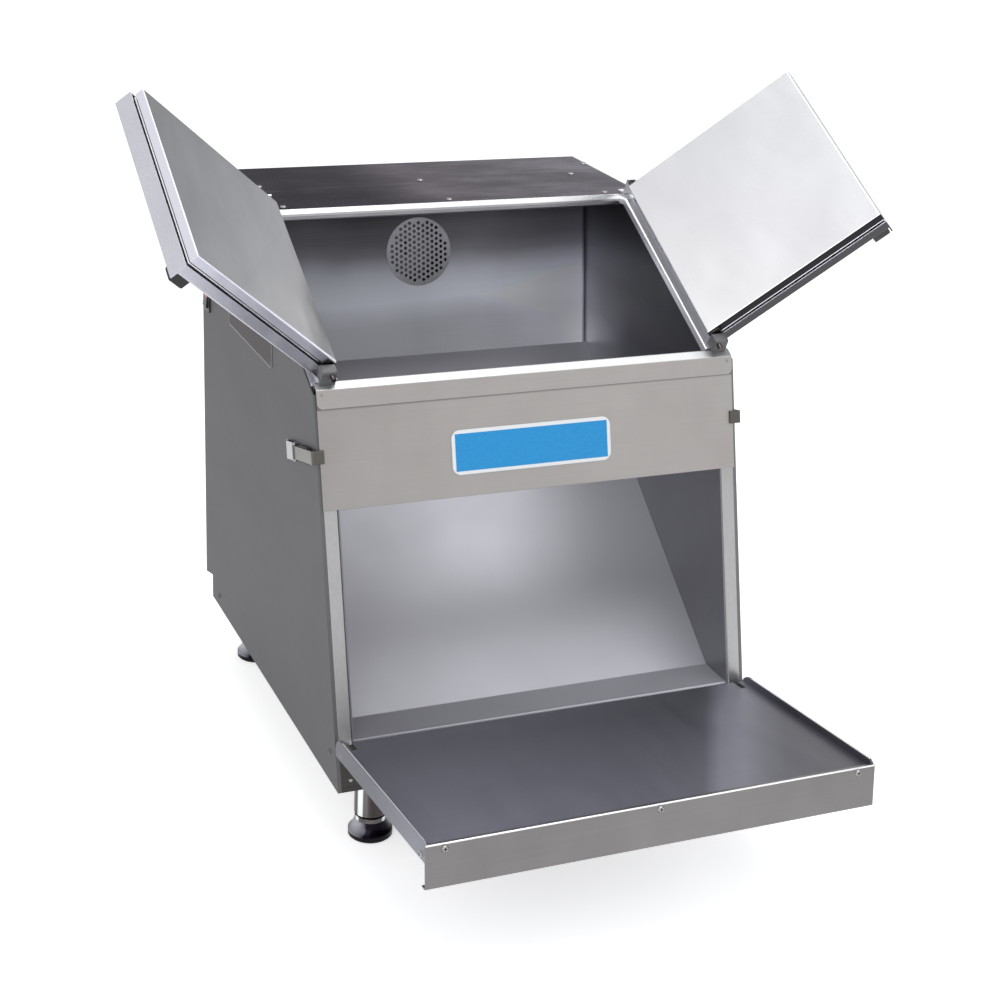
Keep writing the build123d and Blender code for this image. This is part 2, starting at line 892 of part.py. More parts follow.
def lid_pins(side, angle):
    """Ear plates on the lid's two ends with the pins that it turns on."""
    front_ear = lid_start
    back_ear = lid_start + lid_length + ear_thickness
    front_pin = lid_front + block_length - moving_gap
    back_pin = bracket_end + moving_gap - back_ear
    with BuildPart() as pins:
        for place in (front_ear, back_ear):
            with BuildSketch(lid_end_plane(angle, place)):
                with Locations((ear_width / 2, lid_edge_radius + ear_height / 2)):
                    Rectangle(ear_width, ear_height)
            extrude(amount=ear_thickness)
        with BuildSketch(lid_end_plane(angle, front_ear - ear_thickness)):
            with Locations((pivot_inset, pivot_rise)):
                Circle(lid_pin_radius)
        extrude(amount=front_pin)
        with BuildSketch(lid_end_plane(angle, back_ear + back_pin)):
            with Locations((pivot_inset, pivot_rise)):
                Circle(lid_pin_radius)
        extrude(amount=back_pin)
        if side > 0:
            mirror(about=Plane.YZ, mode=Mode.REPLACE)
    return pins


def pivot_blocks():
    """Blocks on the front rail that hold the lids' front pins."""
    top = pivot_above + block_margin
    front = block_end - block_length
    share = -front / math.hypot(rim_y - corner_y, rim_z - corner_z)
    seat_y = rim_y + (corner_y - rim_y) * share
    seat_z = rim_z + (corner_z - rim_z) * share
    points = [
        rim_point(block_end),
        (rim_y, rim_z),
        (seat_y, seat_z),
        rim_point(front, top),
        rim_point(block_end, top),
    ]
    with BuildPart() as blocks:
        with BuildSketch(Plane.YZ.offset(-pivot_x - block_width + block_margin)):
            with BuildLine():
                Polyline(*points, close=True)
            make_face()
        extrude(amount=block_width)
        top_edges = blocks.faces().sort_by(Axis((0, rim_y, rim_z), (0, -rim_sin, rim_cos)))[-1]
        fillet(top_edges.edges().filter_by(Axis.X), radius=block_margin / 2)
        with BuildSketch(slope_plane(block_end)):
            with Locations((-pivot_x, pivot_above)):
                Circle(lid_pin_radius + running_gap)
        extrude(amount=2 * block_length, both=True, mode=Mode.SUBTRACT)
        mirror(about=Plane.YZ)
    return blocks


def pivot_brackets():
    """Angle brackets on the hood's front edge that hold the lids' rear pins."""
    top = pivot_above + block_margin
    low = (hood_z - rim_point(bracket_start)[1]) / rim_cos
    foot_y = rim_point(bracket_start, low)[0]
    rear = foot_y + bracket_foot
    points = [
        (rear, hood_top(rear)),
        (foot_y, hood_top(foot_y)),
        rim_point(bracket_start, top),
    ]
    with BuildPart() as brackets:
        with BuildSketch(Plane.YZ.offset(-pivot_x - block_margin)):
            with BuildLine():
                FilletPolyline(*points, radius=fold_radius / 2)
                offset(amount=bracket_thickness, side=Side.RIGHT)
            make_face()
        extrude(amount=2 * block_margin)
        with BuildSketch(slope_plane(bracket_end)):
            with Locations((-pivot_x, pivot_above)):
                Circle(lid_pin_radius + running_gap)
        extrude(amount=2 * block_margin, both=True, mode=Mode.SUBTRACT)
        mirror(about=Plane.YZ)
    return brackets


# -------------------------------------------------------------------------- tray


def tray_pan():
    """Tray floor between two side walls that carry the hinge pins."""
    floor_under = tray_floor_top - sheet
    floor_half = body_half - tray_wall
    notch_width = hinge_ear_thickness + 2 * tray_notch_gap
    notch_length = tray_heel + hinge_ear_radius + 2 * moving_gap
    notch_x = (ear_inner + ear_outer) / 2
    with BuildPart() as pan:
        with BuildSketch(tray_level(floor_under)):
            with Locations((0, (tray_heel - tray_length) / 2)):
                Rectangle(2 * floor_half, tray_length + tray_heel)
            with Locations((-notch_x, tray_heel - notch_length / 2)):
                Rectangle(notch_width, notch_length, mode=Mode.SUBTRACT)
            with Locations((notch_x, tray_heel - notch_length / 2)):
                Rectangle(notch_width, notch_length, mode=Mode.SUBTRACT)
        extrude(amount=sheet)
        for x in (-floor_half, body_half):
            with BuildSketch(tray_side(x)):
                Circle(tray_wall_top)
                with BuildLine():
                    Polyline(
                        (0, tray_wall_bottom),
                        (tray_length, tray_wall_bottom),
                        (tray_length, tray_front_top),
                        (tray_length - tray_corner_cut, tray_wall_top),
                        (0, tray_wall_top),
                        close=True,
                    )
                make_face()
                with Locations((0, tray_wall_bottom - tray_wall_top)):
                    Rectangle(4 * tray_wall_top, 2 * tray_wall_top, mode=Mode.SUBTRACT)
                Circle(tray_pin_radius, mode=Mode.SUBTRACT)
            extrude(amount=tray_wall)
    return pan


def tray_front():
    """Tall front flange of the tray with a returned lower edge."""
    low = tray_front_top - tray_front_height
    face = tray_length + sheet
    points = [
        (face - tray_hem, low),
        (face, low),
        (face, tray_front_top),
    ]
    hem_half = body_half - tray_wall
    with BuildPart() as front:
        strip = bent_strip(points, plane=tray_side(0), side=Side.LEFT)
        extrude(strip, amount=body_half, both=True)
        with BuildSketch(tray_side(0)):
            with Locations((tray_length - tray_top_hem / 2, tray_front_top - sheet / 2)):
                Rectangle(tray_top_hem, sheet)
        extrude(amount=hem_half, both=True)
    return front


def tray_pins():
    """Hinge pins fixed in the tray's side walls."""
    with BuildPart() as pins:
        for x in (-body_half + tray_pin_length, body_half):
            with BuildSketch(tray_side(x)):
                Circle(tray_pin_radius)
            extrude(amount=tray_pin_length)
    return pins


def tray_screws():
    """Screw heads on the tray's front flange and side walls."""
    row = tray_front_top - tray_screw_drop
    face = Plane(
        origin=tray_side(0).origin + tray_side(0).x_dir * (tray_length + sheet),
        x_dir=(1, 0, 0),
        z_dir=tray_side(0).x_dir,
    )
    spread = body_half - tray_screw_inset
    with BuildPart() as screws:
        heads = screw_heads(face, [(-spread, row), (0, row), (spread, row)])
        extrude(heads, amount=head_height, taper=head_taper_angle)
        left = screw_heads(tray_side(-body_half), [(tray_length - tray_screw_inset / 2, 0)])
        extrude(left, amount=head_height, taper=head_taper_angle)
        right = screw_heads(tray_side(body_half), [(tray_length - tray_screw_inset / 2, 0)])
        extrude(right, amount=-head_height, taper=head_taper_angle)
    return screws


# ----------------------------------------------------------------------- latches

latch_x = -body_half - latch_standoff
latch_low = latch_start - latch_width / 2


def latch_base(side):
    """Hat-shaped base with two lugs and the pin that the strap turns on."""
    skin = -body_half - sheet
    hat_start = latch_pivot_depth + 2 * curl_radius
    hat_end = latch_foot - 2 * curl_radius
    slant = latch_hat
    points = [
        (skin, latch_foot),
        (skin, hat_end),
        (skin - latch_hat, hat_end - slant),
        (skin - latch_hat, hat_start + slant),
        (skin, hat_start),
        (skin, latch_pivot_depth - curl_radius),
    ]
    lug_low = latch_low - moving_gap - lug_thickness
    base_width = latch_width + 2 * (moving_gap + lug_thickness)
    with BuildPart() as base:
        strip = bent_strip(points, level_plane(lug_low), Side.LEFT, latch_fold)
        extrude(strip, amount=base_width)
        for along in (lug_low, latch_low + latch_width + moving_gap):
            with BuildSketch(level_plane(along)):
                with Locations((latch_x, latch_pivot_depth)):
                    Circle(curl_radius)
                with Locations((latch_x / 2 - body_half / 2, latch_pivot_depth)):
                    Rectangle(latch_standoff, 2 * curl_radius)
            extrude(amount=lug_thickness)
        with BuildSketch(level_plane(lug_low)):
            with Locations((latch_x, latch_pivot_depth)):
                Circle(latch_pin_radius)
        extrude(amount=base_width)
        if side > 0:
            mirror(about=Plane.YZ, mode=Mode.REPLACE)
    return base


def latch_strap(side):
    """Strap that hooks round the fascia's edge and curls round the pin."""
    outer = latch_x - sheet
    hook_out = sheet + moving_gap + sheet
    points = [
        (outer + hook_reach, -hook_out),
        (outer, -hook_out),
        (outer, latch_pivot_depth),
    ]
    with BuildPart() as strap:
        strip = bent_strip(points, plane=level_plane(latch_low))
        extrude(strip, amount=latch_width)
        with BuildSketch(level_plane(latch_low)):
            with Locations((latch_x, latch_pivot_depth)):
                Circle(curl_radius)
        extrude(amount=latch_width)
        with BuildSketch(level_plane(latch_low)):
            with Locations((latch_x, latch_pivot_depth)):
                Circle(latch_pin_radius + running_gap)
        extrude(amount=latch_width, mode=Mode.SUBTRACT)
        if side > 0:
            mirror(about=Plane.YZ, mode=Mode.REPLACE)
    return strap


def latch_grip(side):
    """Rubber body under the strap."""
    height = latch_standoff - moving_gap
    with BuildPart() as grip:
        with BuildSketch(Plane(
            origin=level_plane(latch_start).origin + Vector(latch_x, 0, 0),
            x_dir=level_plane(latch_start).y_dir,
            z_dir=(1, 0, 0),
        )):
            with Locations((grip_start + grip_length / 2, 0)):
                RectangleRounded(grip_length, grip_width, height / 2)
        extrude(amount=height)
        if side > 0:
            mirror(about=Plane.YZ, mode=Mode.REPLACE)
    return grip


# ----------------------------------------------------------------- rocker switch

switch_face = -body_half - switch_flange
switch_hole_width = switch_width - 2 * switch_border
switch_hole_height = switch_height - 2 * switch_border
rocker_x = -body_half + switch_flange
rocker_half = switch_hole_height / 2 - switch_wall
rocker_width = switch_hole_width - 2 * switch_wall


def rocker_bezel():
    """Snap-in housing of the switch, open where the rocker sits."""
    with BuildPart() as bezel:
        with BuildSketch(Plane.YZ.offset(-body_half)):
            with Locations((switch_y, switch_z)):
                RectangleRounded(switch_width, switch_height, fold_radius)
        extrude(amount=-switch_flange)
        with BuildSketch(Plane.YZ.offset(-body_half)):
            with Locations((switch_y, switch_z)):
                Rectangle(switch_hole_width, switch_hole_height)
        extrude(amount=switch_body_depth)
        with BuildSketch(Plane.YZ.offset(switch_face)):
            with Locations((switch_y, switch_z)):
                Rectangle(rocker_width, 2 * rocker_half)
        extrude(amount=switch_body_depth - switch_flange, mode=Mode.SUBTRACT)
        with BuildSketch(Plane.XZ.offset(-switch_y)):
            with Locations((rocker_x, switch_z)):
                Circle(rocker_pin_radius + running_gap)
        extrude(amount=switch_hole_width / 2 - sheet / 2, both=True, mode=Mode.SUBTRACT)
    return bezel


def rocker_section(out_low, out_high, from_z, to_z):
    """Points of the rocker's side, tilted to its resting end."""
    tilt = math.radians(rocker_angle)
    places = [(out_low, from_z), (out_high, from_z), (out_high, to_z), (out_low, to_z)]
    turned = []
    for out, up in places:
        turned.append((
            rocker_x - out * math.cos(tilt) + up * math.sin(tilt),
            switch_z + up * math.cos(tilt) + out * math.sin(tilt),
        ))
    return turned


rocker_reach = rocker_half - 2 * moving_gap
rocker_out = switch_flange + rocker_stand


def rocker_button():
    """Rocker with its pivot pins."""
    with BuildPart() as button:
        with BuildSketch(Plane.XZ.offset(-switch_y)):
            with BuildLine():
                Polyline(
                    *rocker_section(-rocker_sunk, rocker_out, -rocker_reach, 0)[:3],
                    *rocker_section(-rocker_sunk, rocker_out - lens_depth, 0, rocker_reach)[1:],
                    rocker_section(-rocker_sunk, rocker_out, -rocker_reach, 0)[3],
                    close=True,
                )
            make_face()
        extrude(amount=rocker_width / 2 - moving_gap, both=True)
        with BuildSketch(Plane.XZ.offset(-switch_y)):
            with Locations((rocker_x, switch_z)):
                Circle(rocker_pin_radius)
        extrude(amount=switch_hole_width / 2 - sheet, both=True)
    return button


def rocker_lens():
    """Coloured window on the upper half of the rocker."""
    with BuildPart() as lens:
        with BuildSketch(Plane.XZ.offset(-switch_y)):
            with BuildLine():
                Polyline(
                    *rocker_section(rocker_out - lens_depth, rocker_out, 0, rocker_reach),
                    close=True,
                )
            make_face()
        extrude(amount=rocker_width / 2 - moving_gap, both=True)
    return lens


# ------------------------------------------------------- blower and electrical


def blower_housing():
    """Round blower casing behind the grille, with an outlet below."""
    outlet_low = grille_height - blower_radius - outlet_length
    with BuildPart() as housing:
        with BuildSketch(wall_plane(sheet)):
            with Locations((0, grille_height)):
                Circle(blower_radius)
            with Locations((0, outlet_low + (blower_radius + outlet_length) / 2)):
                Rectangle(outlet_width, blower_radius + outlet_length)
        extrude(amount=-blower_depth)
        with BuildSketch(wall_plane(sheet)):
            with Locations((0, grille_height)):
                Circle(blower_radius - sheet)
        extrude(amount=-(blower_depth - sheet), mode=Mode.SUBTRACT)
        with BuildSketch(wall_plane(2 * sheet)):
            with Locations((0, outlet_low + (blower_radius + outlet_length) / 2)):
                Rectangle(outlet_width - 2 * sheet, blower_radius + outlet_length)
        extrude(amount=-(blower_depth - 2 * sheet), mode=Mode.SUBTRACT)
        with BuildSketch(wall_plane(blower_depth)):
            with Locations((0, grille_height)):
                Circle(2 * shaft_radius)
        extrude(amount=-2 * sheet, mode=Mode.SUBTRACT)
    return housing


def blower_motor():
    """Motor can on the back of the casing, bored for the wheel's shaft."""
    with BuildPart() as motor:
        with BuildSketch(wall_plane(sheet + blower_depth)):
            with Locations((0, grille_height)):
                Circle(motor_radius)
        extrude(amount=-motor_length)
        rear = motor.faces().sort_by(Axis.Y)[-1]
        chamfer(rear.edges(), length=2 * fold_radius)
        with BuildSketch(wall_plane(sheet + blower_depth)):
            with Locations((0, grille_height)):
                Circle(shaft_radius + running_gap)
        extrude(amount=-motor_length / 2, mode=Mode.SUBTRACT)
    return motor


def fan_wheel():
    """Drum wheel: back disc, hub with shaft, blades and front ring."""
    disc_at = blower_depth - 2 * sheet
    blade_ring = wheel_radius - blade_length / 2
    with BuildPart() as wheel:
        with BuildSketch(wall_plane(disc_at)):
            with Locations((0, grille_height)):
                Circle(wheel_radius)
        extrude(amount=sheet)
        with BuildSketch(wall_plane(disc_at)):
            with Locations((0, grille_height)):
                with PolarLocations(blade_ring, blade_count):
                    Rectangle(blade_length, sheet, rotation=blade_angle)
        extrude(amount=wheel_depth)
        with BuildSketch(wall_plane(disc_at - wheel_depth)):
            with Locations((0, grille_height)):
                Circle(wheel_radius)
                Circle(wheel_radius - blade_length / 2, mode=Mode.SUBTRACT)
        extrude(amount=-sheet)
        with BuildSketch(wall_plane(disc_at)):
            with Locations((0, grille_height)):
                Circle(2 * shaft_radius)
        extrude(amount=wheel_depth / 2)
        with BuildSketch(wall_plane(disc_at)):
            with Locations((0, grille_height)):
                Circle(shaft_radius)
        extrude(amount=-(motor_length / 2 + sheet))
    return wheel


def heater_frame():
    """Sheet frame on the back panel, open above and below."""
    middle_y = panel_back - heater_depth / 2
    with BuildPart() as frame:
        with BuildSketch(Plane.XY.offset(heater_z)):
            with Locations((0, middle_y)):
                Rectangle(heater_width, heater_depth)
                Rectangle(heater_width - 2 * sheet, heater_depth - 2 * sheet, mode=Mode.SUBTRACT)
        extrude(amount=heater_height)
    return frame


def heater_element():
    """Flat strip element on edge across the frame, with two terminal posts."""
    middle_y = panel_back - heater_depth / 2
    level = heater_z + heater_height / 2
    length = heater_width - 2 * sheet
    face = Plane.XZ.offset(-middle_y + element_thickness / 2)
    with BuildPart() as element:
        with BuildSketch(face):
            with Locations((0, level)):
                Rectangle(length, element_width)
        extrude(amount=-element_thickness)
        with BuildSketch(face):
            with Locations((0, level)):
                with GridLocations(length - 2 * post_inset, 0, 2, 1):
                    Circle(post_radius)
        extrude(amount=post_length)
    return element


def thermostat():
    """Thermostat body with its dial, on the base pan."""
    seat = leg_height + sheet
    place = (-control_x, body_back - control_inset)
    with BuildPart() as control:
        with BuildSketch(Plane.XY.offset(seat)):
            with Locations(place):
                Rectangle(control_width, control_depth)
        extrude(amount=control_height)
        with BuildSketch(Plane.XY.offset(seat + control_height)):
            with Locations(place):
                Circle(dial_radius)
        extrude(amount=dial_height)
        chamfer(control.faces().sort_by(Axis.Z)[-1].edges(), length=fold_radius)
    return control


def terminal_block():
    """Terminal block on the base pan, one well for each wire."""
    seat = leg_height + sheet
    place = (control_x, body_back - control_inset)
    width = well_count * well_pitch + 2 * sheet
    with BuildPart() as block:
        with BuildSketch(Plane.XY.offset(seat)):
            with Locations(place):
                Rectangle(width, terminal_depth)
        extrude(amount=terminal_height)
        with BuildSketch(Plane.XY.offset(seat + terminal_height)):
            with Locations(place):
                with GridLocations(well_pitch, 0, well_count, 1):
                    Rectangle(well_pitch - 2 * sheet, terminal_depth)
        extrude(amount=-well_depth, mode=Mode.SUBTRACT)
    return block


def cord_gland():
    """Strain relief in the back panel: flange, nut and tapered sleeve."""
    inner_end = panel_back - gland_nut
    sleeve_end = body_back + gland_nut + gland_sleeve
    with BuildPart() as gland:
        with BuildSketch(Plane.XZ.offset(-inner_end)):
            with Locations((gland_x, gland_z)):
                Circle(gland_neck)
        extrude(amount=-(gland_nut + sheet))
        with BuildSketch(Plane.XZ.offset(-body_back)):
            with Locations((gland_x, gland_z)):
                RegularPolygon(gland_radius, gland_nut_sides)
        extrude(amount=-gland_nut)
        with BuildSketch(Plane.XZ.offset(-body_back - gland_nut)):
            with Locations((gland_x, gland_z)):
                Circle(gland_neck)
        extrude(amount=-gland_sleeve, taper=gland_taper_angle)
        with BuildSketch(Plane.XZ.offset(-sleeve_end)):
            with Locations((gland_x, gland_z)):
                Circle(gland_neck / 2)
        extrude(amount=sleeve_end - inner_end, mode=Mode.SUBTRACT)
    return gland


# -------------------------------------------------------------------------- legs


def leg_barrels():
    """Four round legs under the base pan, bored for the feet."""
    low = leg_height - barrel_length
    with BuildPart() as barrels:
        with BuildSketch(Plane.XY.offset(low)):
            with GridLocations(2 * leg_x, 2 * leg_y, 2, 2):
                Circle(barrel_radius)
        extrude(amount=barrel_length)
        rims = barrels.faces().group_by(Axis.Z)[0].edges().filter_by(GeomType.CIRCLE)
        chamfer(rims, length=barrel_edge)
        with BuildSketch(Plane.XY.offset(low)):
            with GridLocations(2 * leg_x, 2 * leg_y, 2, 2):
                Circle(stem_radius + running_gap)
        extrude(amount=barrel_length - barrel_cap, mode=Mode.SUBTRACT)
    return barrels


def foot(x, y):
    """Adjustable foot: flared skirt on a threaded stem."""
    neck = foot_height - foot_edge
    with BuildPart() as piece:
        with BuildSketch(Plane(origin=(x, y, 0), x_dir=(1, 0, 0), z_dir=(0, -1, 0))):
            with BuildLine():
                Polyline(
                    (foot_neck_radius, neck),
                    (foot_neck_radius, foot_height),
                    (stem_radius, foot_height),
                    (stem_radius, foot_height + stem_length),
                    (0, foot_height + stem_length),
                    (0, 0),
                    (foot_radius - foot_edge, 0),
                    (foot_radius, foot_edge),
                    (foot_radius, foot_band),
                )
                TangentArc((foot_neck_radius, neck), (foot_radius, foot_band), tangent=(0, -1))
            make_face()
        revolve(axis=Axis((x, y, 0), (0, 0, 1)))
    return piece


# ------------------------------------------------------------------------ screws


def hood_screws():
    """Screw heads on the hood: two rows and one near each side."""
    front_row = hood_y + hood_row_front
    back_row = body_back - hood_row_back
    side_row = body_back - hood_row_side
    spread = body_half - hood_row_inset
    side_x = body_half - edge_return
    slant = Plane(
        origin=(0, 0, hood_top(0)),
        x_dir=(1, 0, 0),
        z_dir=(0, -hood_pitch, 1),
    )
    places = [(x, y) for y in (front_row, back_row) for x in (-spread, 0, spread)]
    places += [(-side_x, side_row), (side_x, side_row)]
    with BuildPart() as screws:
        extrude(screw_heads(slant, places), amount=head_height, taper=head_taper_angle)
    return screws


def body_screws():
    """Screw heads on the side panels, the kick plate and the back panel."""
    low = leg_height + notch_height + back_screw_low
    high = hood_under(body_back) - back_screw_high
    inset = inner_half - back_return / 2
    side_places = [
        front_point(side_screw_start, -side_screw_in),
        (panel_back - side_screw_setback, leg_height + side_screw_rise),
    ]
    kick_x = body_half - kick_screw_inset
    with BuildPart() as screws:
        left = screw_heads(Plane.YZ.offset(-body_half), side_places)
        extrude(left, amount=-head_height, taper=head_taper_angle)
        right = screw_heads(Plane.YZ.offset(body_half), side_places)
        extrude(right, amount=head_height, taper=head_taper_angle)
        kick = screw_heads(front_plane(), [(-kick_x, kick_screw_start), (kick_x, kick_screw_start)])
        extrude(kick, amount=head_height, taper=head_taper_angle)
        rows = [low, (low + high) / 2, high]
        places = [(x, z) for x in (-inset, inset) for z in rows]
        back = screw_heads(Plane.XZ.offset(-body_back), places)
        extrude(back, amount=-head_height, taper=head_taper_angle)
    return screws


# ------------------------------------------------------------------ all the pieces

pieces = {
    "left_side_panel": side_panel(-1, True),
    "right_side_panel": side_panel(1, False),
    "base_pan": base_pan(),
    "back_panel": back_panel(),
    "hood": hood(),
    "hood_channel": hood_channel(),
    "left_liner_wall": liner_wall(-1),
    "right_liner_wall": liner_wall(1),
    "chute_floor": chute_floor(),
    "hopper_back_wall": hopper_back_wall(),
    "vent_grille": vent_grille(),
    "left_rim_channel": rim_channel(-1),
    "right_rim_channel": rim_channel(1),
    "front_rail": front_rail(),
    "fascia": fascia(),
    "badge_plate": badge_plate(),
    "label_plate": label_plate(),
    "front_posts": front_posts(),
    "kick_plate": kick_plate(),
    "hinge_brackets": hinge_brackets(),
    "pivot_blocks": pivot_blocks(),
    "pivot_brackets": pivot_brackets(),
    "tray_pan": tray_pan(),
    "tray_front": tray_front(),
    "tray_pins": tray_pins(),
    "tray_screws": tray_screws(),
    "rocker_bezel": rocker_bezel(),
    "rocker_button": rocker_button(),
    "rocker_lens": rocker_lens(),
    "blower_housing": blower_housing(),
    "blower_motor": blower_motor(),
    "fan_wheel": fan_wheel(),
    "heater_frame": heater_frame(),
    "heater_element": heater_element(),
    "thermostat": thermostat(),
    "terminal_block": terminal_block(),
    "cord_gland": cord_gland(),
    "leg_barrels": leg_barrels(),
    "hood_screws": hood_screws(),
    "body_screws": body_screws(),
}

for hand, side, angle in (("left", -1, left_open_angle), ("right", 1, right_open_angle)):
    pieces[f"{hand}_lid_inner_pan"] = lid_inner_pan(side, angle)
    pieces[f"{hand}_lid_core"] = lid_core(side, angle)
    pieces[f"{hand}_lid_outer_pan"] = lid_outer_pan(side, angle)
    pieces[f"{hand}_lid_bumper"] = lid_bumper(side, angle)
    pieces[f"{hand}_lid_pins"] = lid_pins(side, angle)
    pieces[f"{hand}_latch_base"] = latch_base(side)
    pieces[f"{hand}_latch_strap"] = latch_strap(side)
    pieces[f"{hand}_latch_grip"] = latch_grip(side)

for end, foot_y in (("front", -leg_y), ("back", leg_y)):
    for hand, foot_x in (("left", -leg_x), ("right", leg_x)):
        pieces[f"{end}_{hand}_foot"] = foot(foot_x, foot_y)

for name, piece in pieces.items():
    finish(piece, name)
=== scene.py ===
import math

import bmesh
import bpy
from mathutils import Matrix, Vector


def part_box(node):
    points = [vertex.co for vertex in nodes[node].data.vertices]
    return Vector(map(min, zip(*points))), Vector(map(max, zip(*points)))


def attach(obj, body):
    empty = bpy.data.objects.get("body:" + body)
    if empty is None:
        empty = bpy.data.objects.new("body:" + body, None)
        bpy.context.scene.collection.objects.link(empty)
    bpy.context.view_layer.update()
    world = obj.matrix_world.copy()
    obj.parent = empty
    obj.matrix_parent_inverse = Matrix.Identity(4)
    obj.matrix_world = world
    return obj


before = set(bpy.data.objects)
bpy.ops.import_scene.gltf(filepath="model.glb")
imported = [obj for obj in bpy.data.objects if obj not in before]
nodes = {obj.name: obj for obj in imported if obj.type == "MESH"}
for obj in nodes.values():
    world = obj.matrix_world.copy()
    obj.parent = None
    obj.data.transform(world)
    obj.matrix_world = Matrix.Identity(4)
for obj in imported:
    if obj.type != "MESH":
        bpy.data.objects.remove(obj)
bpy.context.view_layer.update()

# ---------------------------------------------------------------- places and sizes
# Metres. What the CAD nodes' own boxes can give is taken from them.

hood_low, hood_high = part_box("hood")
wall_low, wall_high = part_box("hopper_back_wall")
badge_low, badge_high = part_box("badge_plate")
label_low, label_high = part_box("label_plate")
rail_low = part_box("front_rail")[0]
kick_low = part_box("kick_plate")[0]

edge_radius = 0.0007        # how soft a folded or cut sheet edge looks
foot_base_height = 0.0060   # the black base ends here
foot_neck_height = 0.0205   # the dark flare ends here

noise_low = 0.3             # most of a noise lies between these two
noise_high = 0.7


# ------------------------------------------------------------------ material helpers


class Finish:
    """A principled material with the few node helpers that every finish here uses."""

    def __init__(self, name, metallic, roughness):
        self.material = bpy.data.materials.new(name)
        self.material.use_nodes = True
        self.tree = self.material.node_tree
        self.shader = self.tree.nodes["Principled BSDF"]
        self.shader.inputs["Metallic"].default_value = metallic
        self.shader.inputs["Roughness"].default_value = roughness
        self.coords = self.node("ShaderNodeTexCoord")

    def node(self, kind, **settings):
        made = self.tree.nodes.new(kind)
        for key, value in settings.items():
            setattr(made, key, value)
        return made

    def link(self, source, target):
        self.tree.links.new(source, target)

    def stretched(self, scale, turn=(0, 0, 0)):
        """Object coordinates, scaled on each axis and turned."""
        mapping = self.node("ShaderNodeMapping")
        mapping.inputs["Scale"].default_value = scale
        mapping.inputs["Rotation"].default_value = turn
        self.link(self.coords.outputs["Object"], mapping.inputs["Vector"])
        return mapping.outputs["Vector"]

    def noise(self, vector, detail=3.0, roughness=0.55, distortion=0.0):
        """Noise whose size comes from the vector's own scale."""
        texture = self.node("ShaderNodeTexNoise")
        texture.inputs["Scale"].default_value = 1.0
        texture.inputs["Detail"].default_value = detail
        texture.inputs["Roughness"].default_value = roughness
        texture.inputs["Distortion"].default_value = distortion
        self.link(vector, texture.inputs["Vector"])
        return texture.outputs["Fac"]

    def ramp(self, factor, stops):
        """Colour or grey by a factor; stops are (place, colour)."""
        ramp = self.node("ShaderNodeValToRGB")
        ramp.color_ramp.elements[0].position = stops[0][0]
        ramp.color_ramp.elements[0].color = rgba(stops[0][1])
        ramp.color_ramp.elements[1].position = stops[-1][0]
        ramp.color_ramp.elements[1].color = rgba(stops[-1][1])
        for place, colour in stops[1:-1]:
            ramp.color_ramp.elements.new(place).color = rgba(colour)
        self.link(factor, ramp.inputs["Fac"])
        return ramp.outputs["Color"]

    def span(self, value, low, high, to_low=0.0, to_high=1.0):
        """A value brought from one range to another, and kept inside it."""
        node = self.node("ShaderNodeMapRange")
        node.inputs["From Min"].default_value = low
        node.inputs["From Max"].default_value = high
        node.inputs["To Min"].default_value = to_low
        node.inputs["To Max"].default_value = to_high
        self.link(value, node.inputs["Value"])
        return node.outputs["Result"]

    def sums(self, operation, first, second):
        """One sum of two values, each a number or a socket."""
        node = self.node("ShaderNodeMath", operation=operation)
        for socket, value in zip(node.inputs, (first, second)):
            if isinstance(value, (int, float)):
                socket.default_value = value
            else:
                self.link(value, socket)
        return node.outputs["Value"]

    def mixed(self, factor, first, second, blend="MIX"):
        """The first colour blended with the second one by a factor."""
        node = self.node("ShaderNodeMix", data_type="RGBA", blend_type=blend)
        pairs = ((node.inputs[0], factor), (node.inputs[6], first), (node.inputs[7], second))
        for socket, value in pairs:
            if isinstance(value, (int, float)):
                socket.default_value = value
            elif isinstance(value, tuple):
                socket.default_value = rgba(value)
            else:
                self.link(value, socket)
        return node.outputs[2]

    def multiplied(self, first, second):
        """Two colours multiplied together."""
        return self.mixed(1.0, first, second, "MULTIPLY")

    def place(self, axis):
        """One object coordinate, in metres."""
        split = self.node("ShaderNodeSeparateXYZ")
        self.link(self.coords.outputs["Object"], split.inputs["Vector"])
        return split.outputs[axis]

    def from_middle(self, axis):
        """How far a place is from the object's middle on one axis, to either side."""
        return self.sums("ABSOLUTE", self.place(axis), 0.0)

    def inside(self, low, high, axis):
        """How far a place is inside the nearer of a box's two sides on one axis."""
        along = "XYZ".index(axis)
        middle = (low + high) / 2
        half = (high - low) / 2
        off_middle = self.sums("SUBTRACT", self.place(axis), middle[along])
        return self.sums("SUBTRACT", half[along], self.sums("ABSOLUTE", off_middle, 0.0))

    def facing(self, axis):
        """How far the surface faces along one object axis, -1 to 1."""
        split = self.node("ShaderNodeSeparateXYZ")
        self.link(self.coords.outputs["Normal"], split.inputs["Vector"])
        return split.outputs[axis]

    def towards(self, direction):
        """How far the surface faces along a direction in the object's frame, -1 to 1."""
        dot = self.node("ShaderNodeVectorMath", operation="DOT_PRODUCT")
        self.link(self.coords.outputs["Normal"], dot.inputs[0])
        dot.inputs[1].default_value = direction
        return dot.outputs["Value"]

    def scaled(self, colour, factor):
        """A colour made lighter or darker by a number that varies over the surface."""
        grey = self.node("ShaderNodeCombineColor")
        for channel in ("Red", "Green", "Blue"):
            self.link(factor, grey.inputs[channel])
        return self.multiplied(colour, grey.outputs["Color"])

    def paint(self, colour):
        self.link(colour, self.shader.inputs["Base Color"])

    def roughen(self, value, low, high, at_low, at_high):
        """Roughness that follows a value from one range to another."""
        self.link(self.span(value, low, high, at_low, at_high), self.shader.inputs["Roughness"])

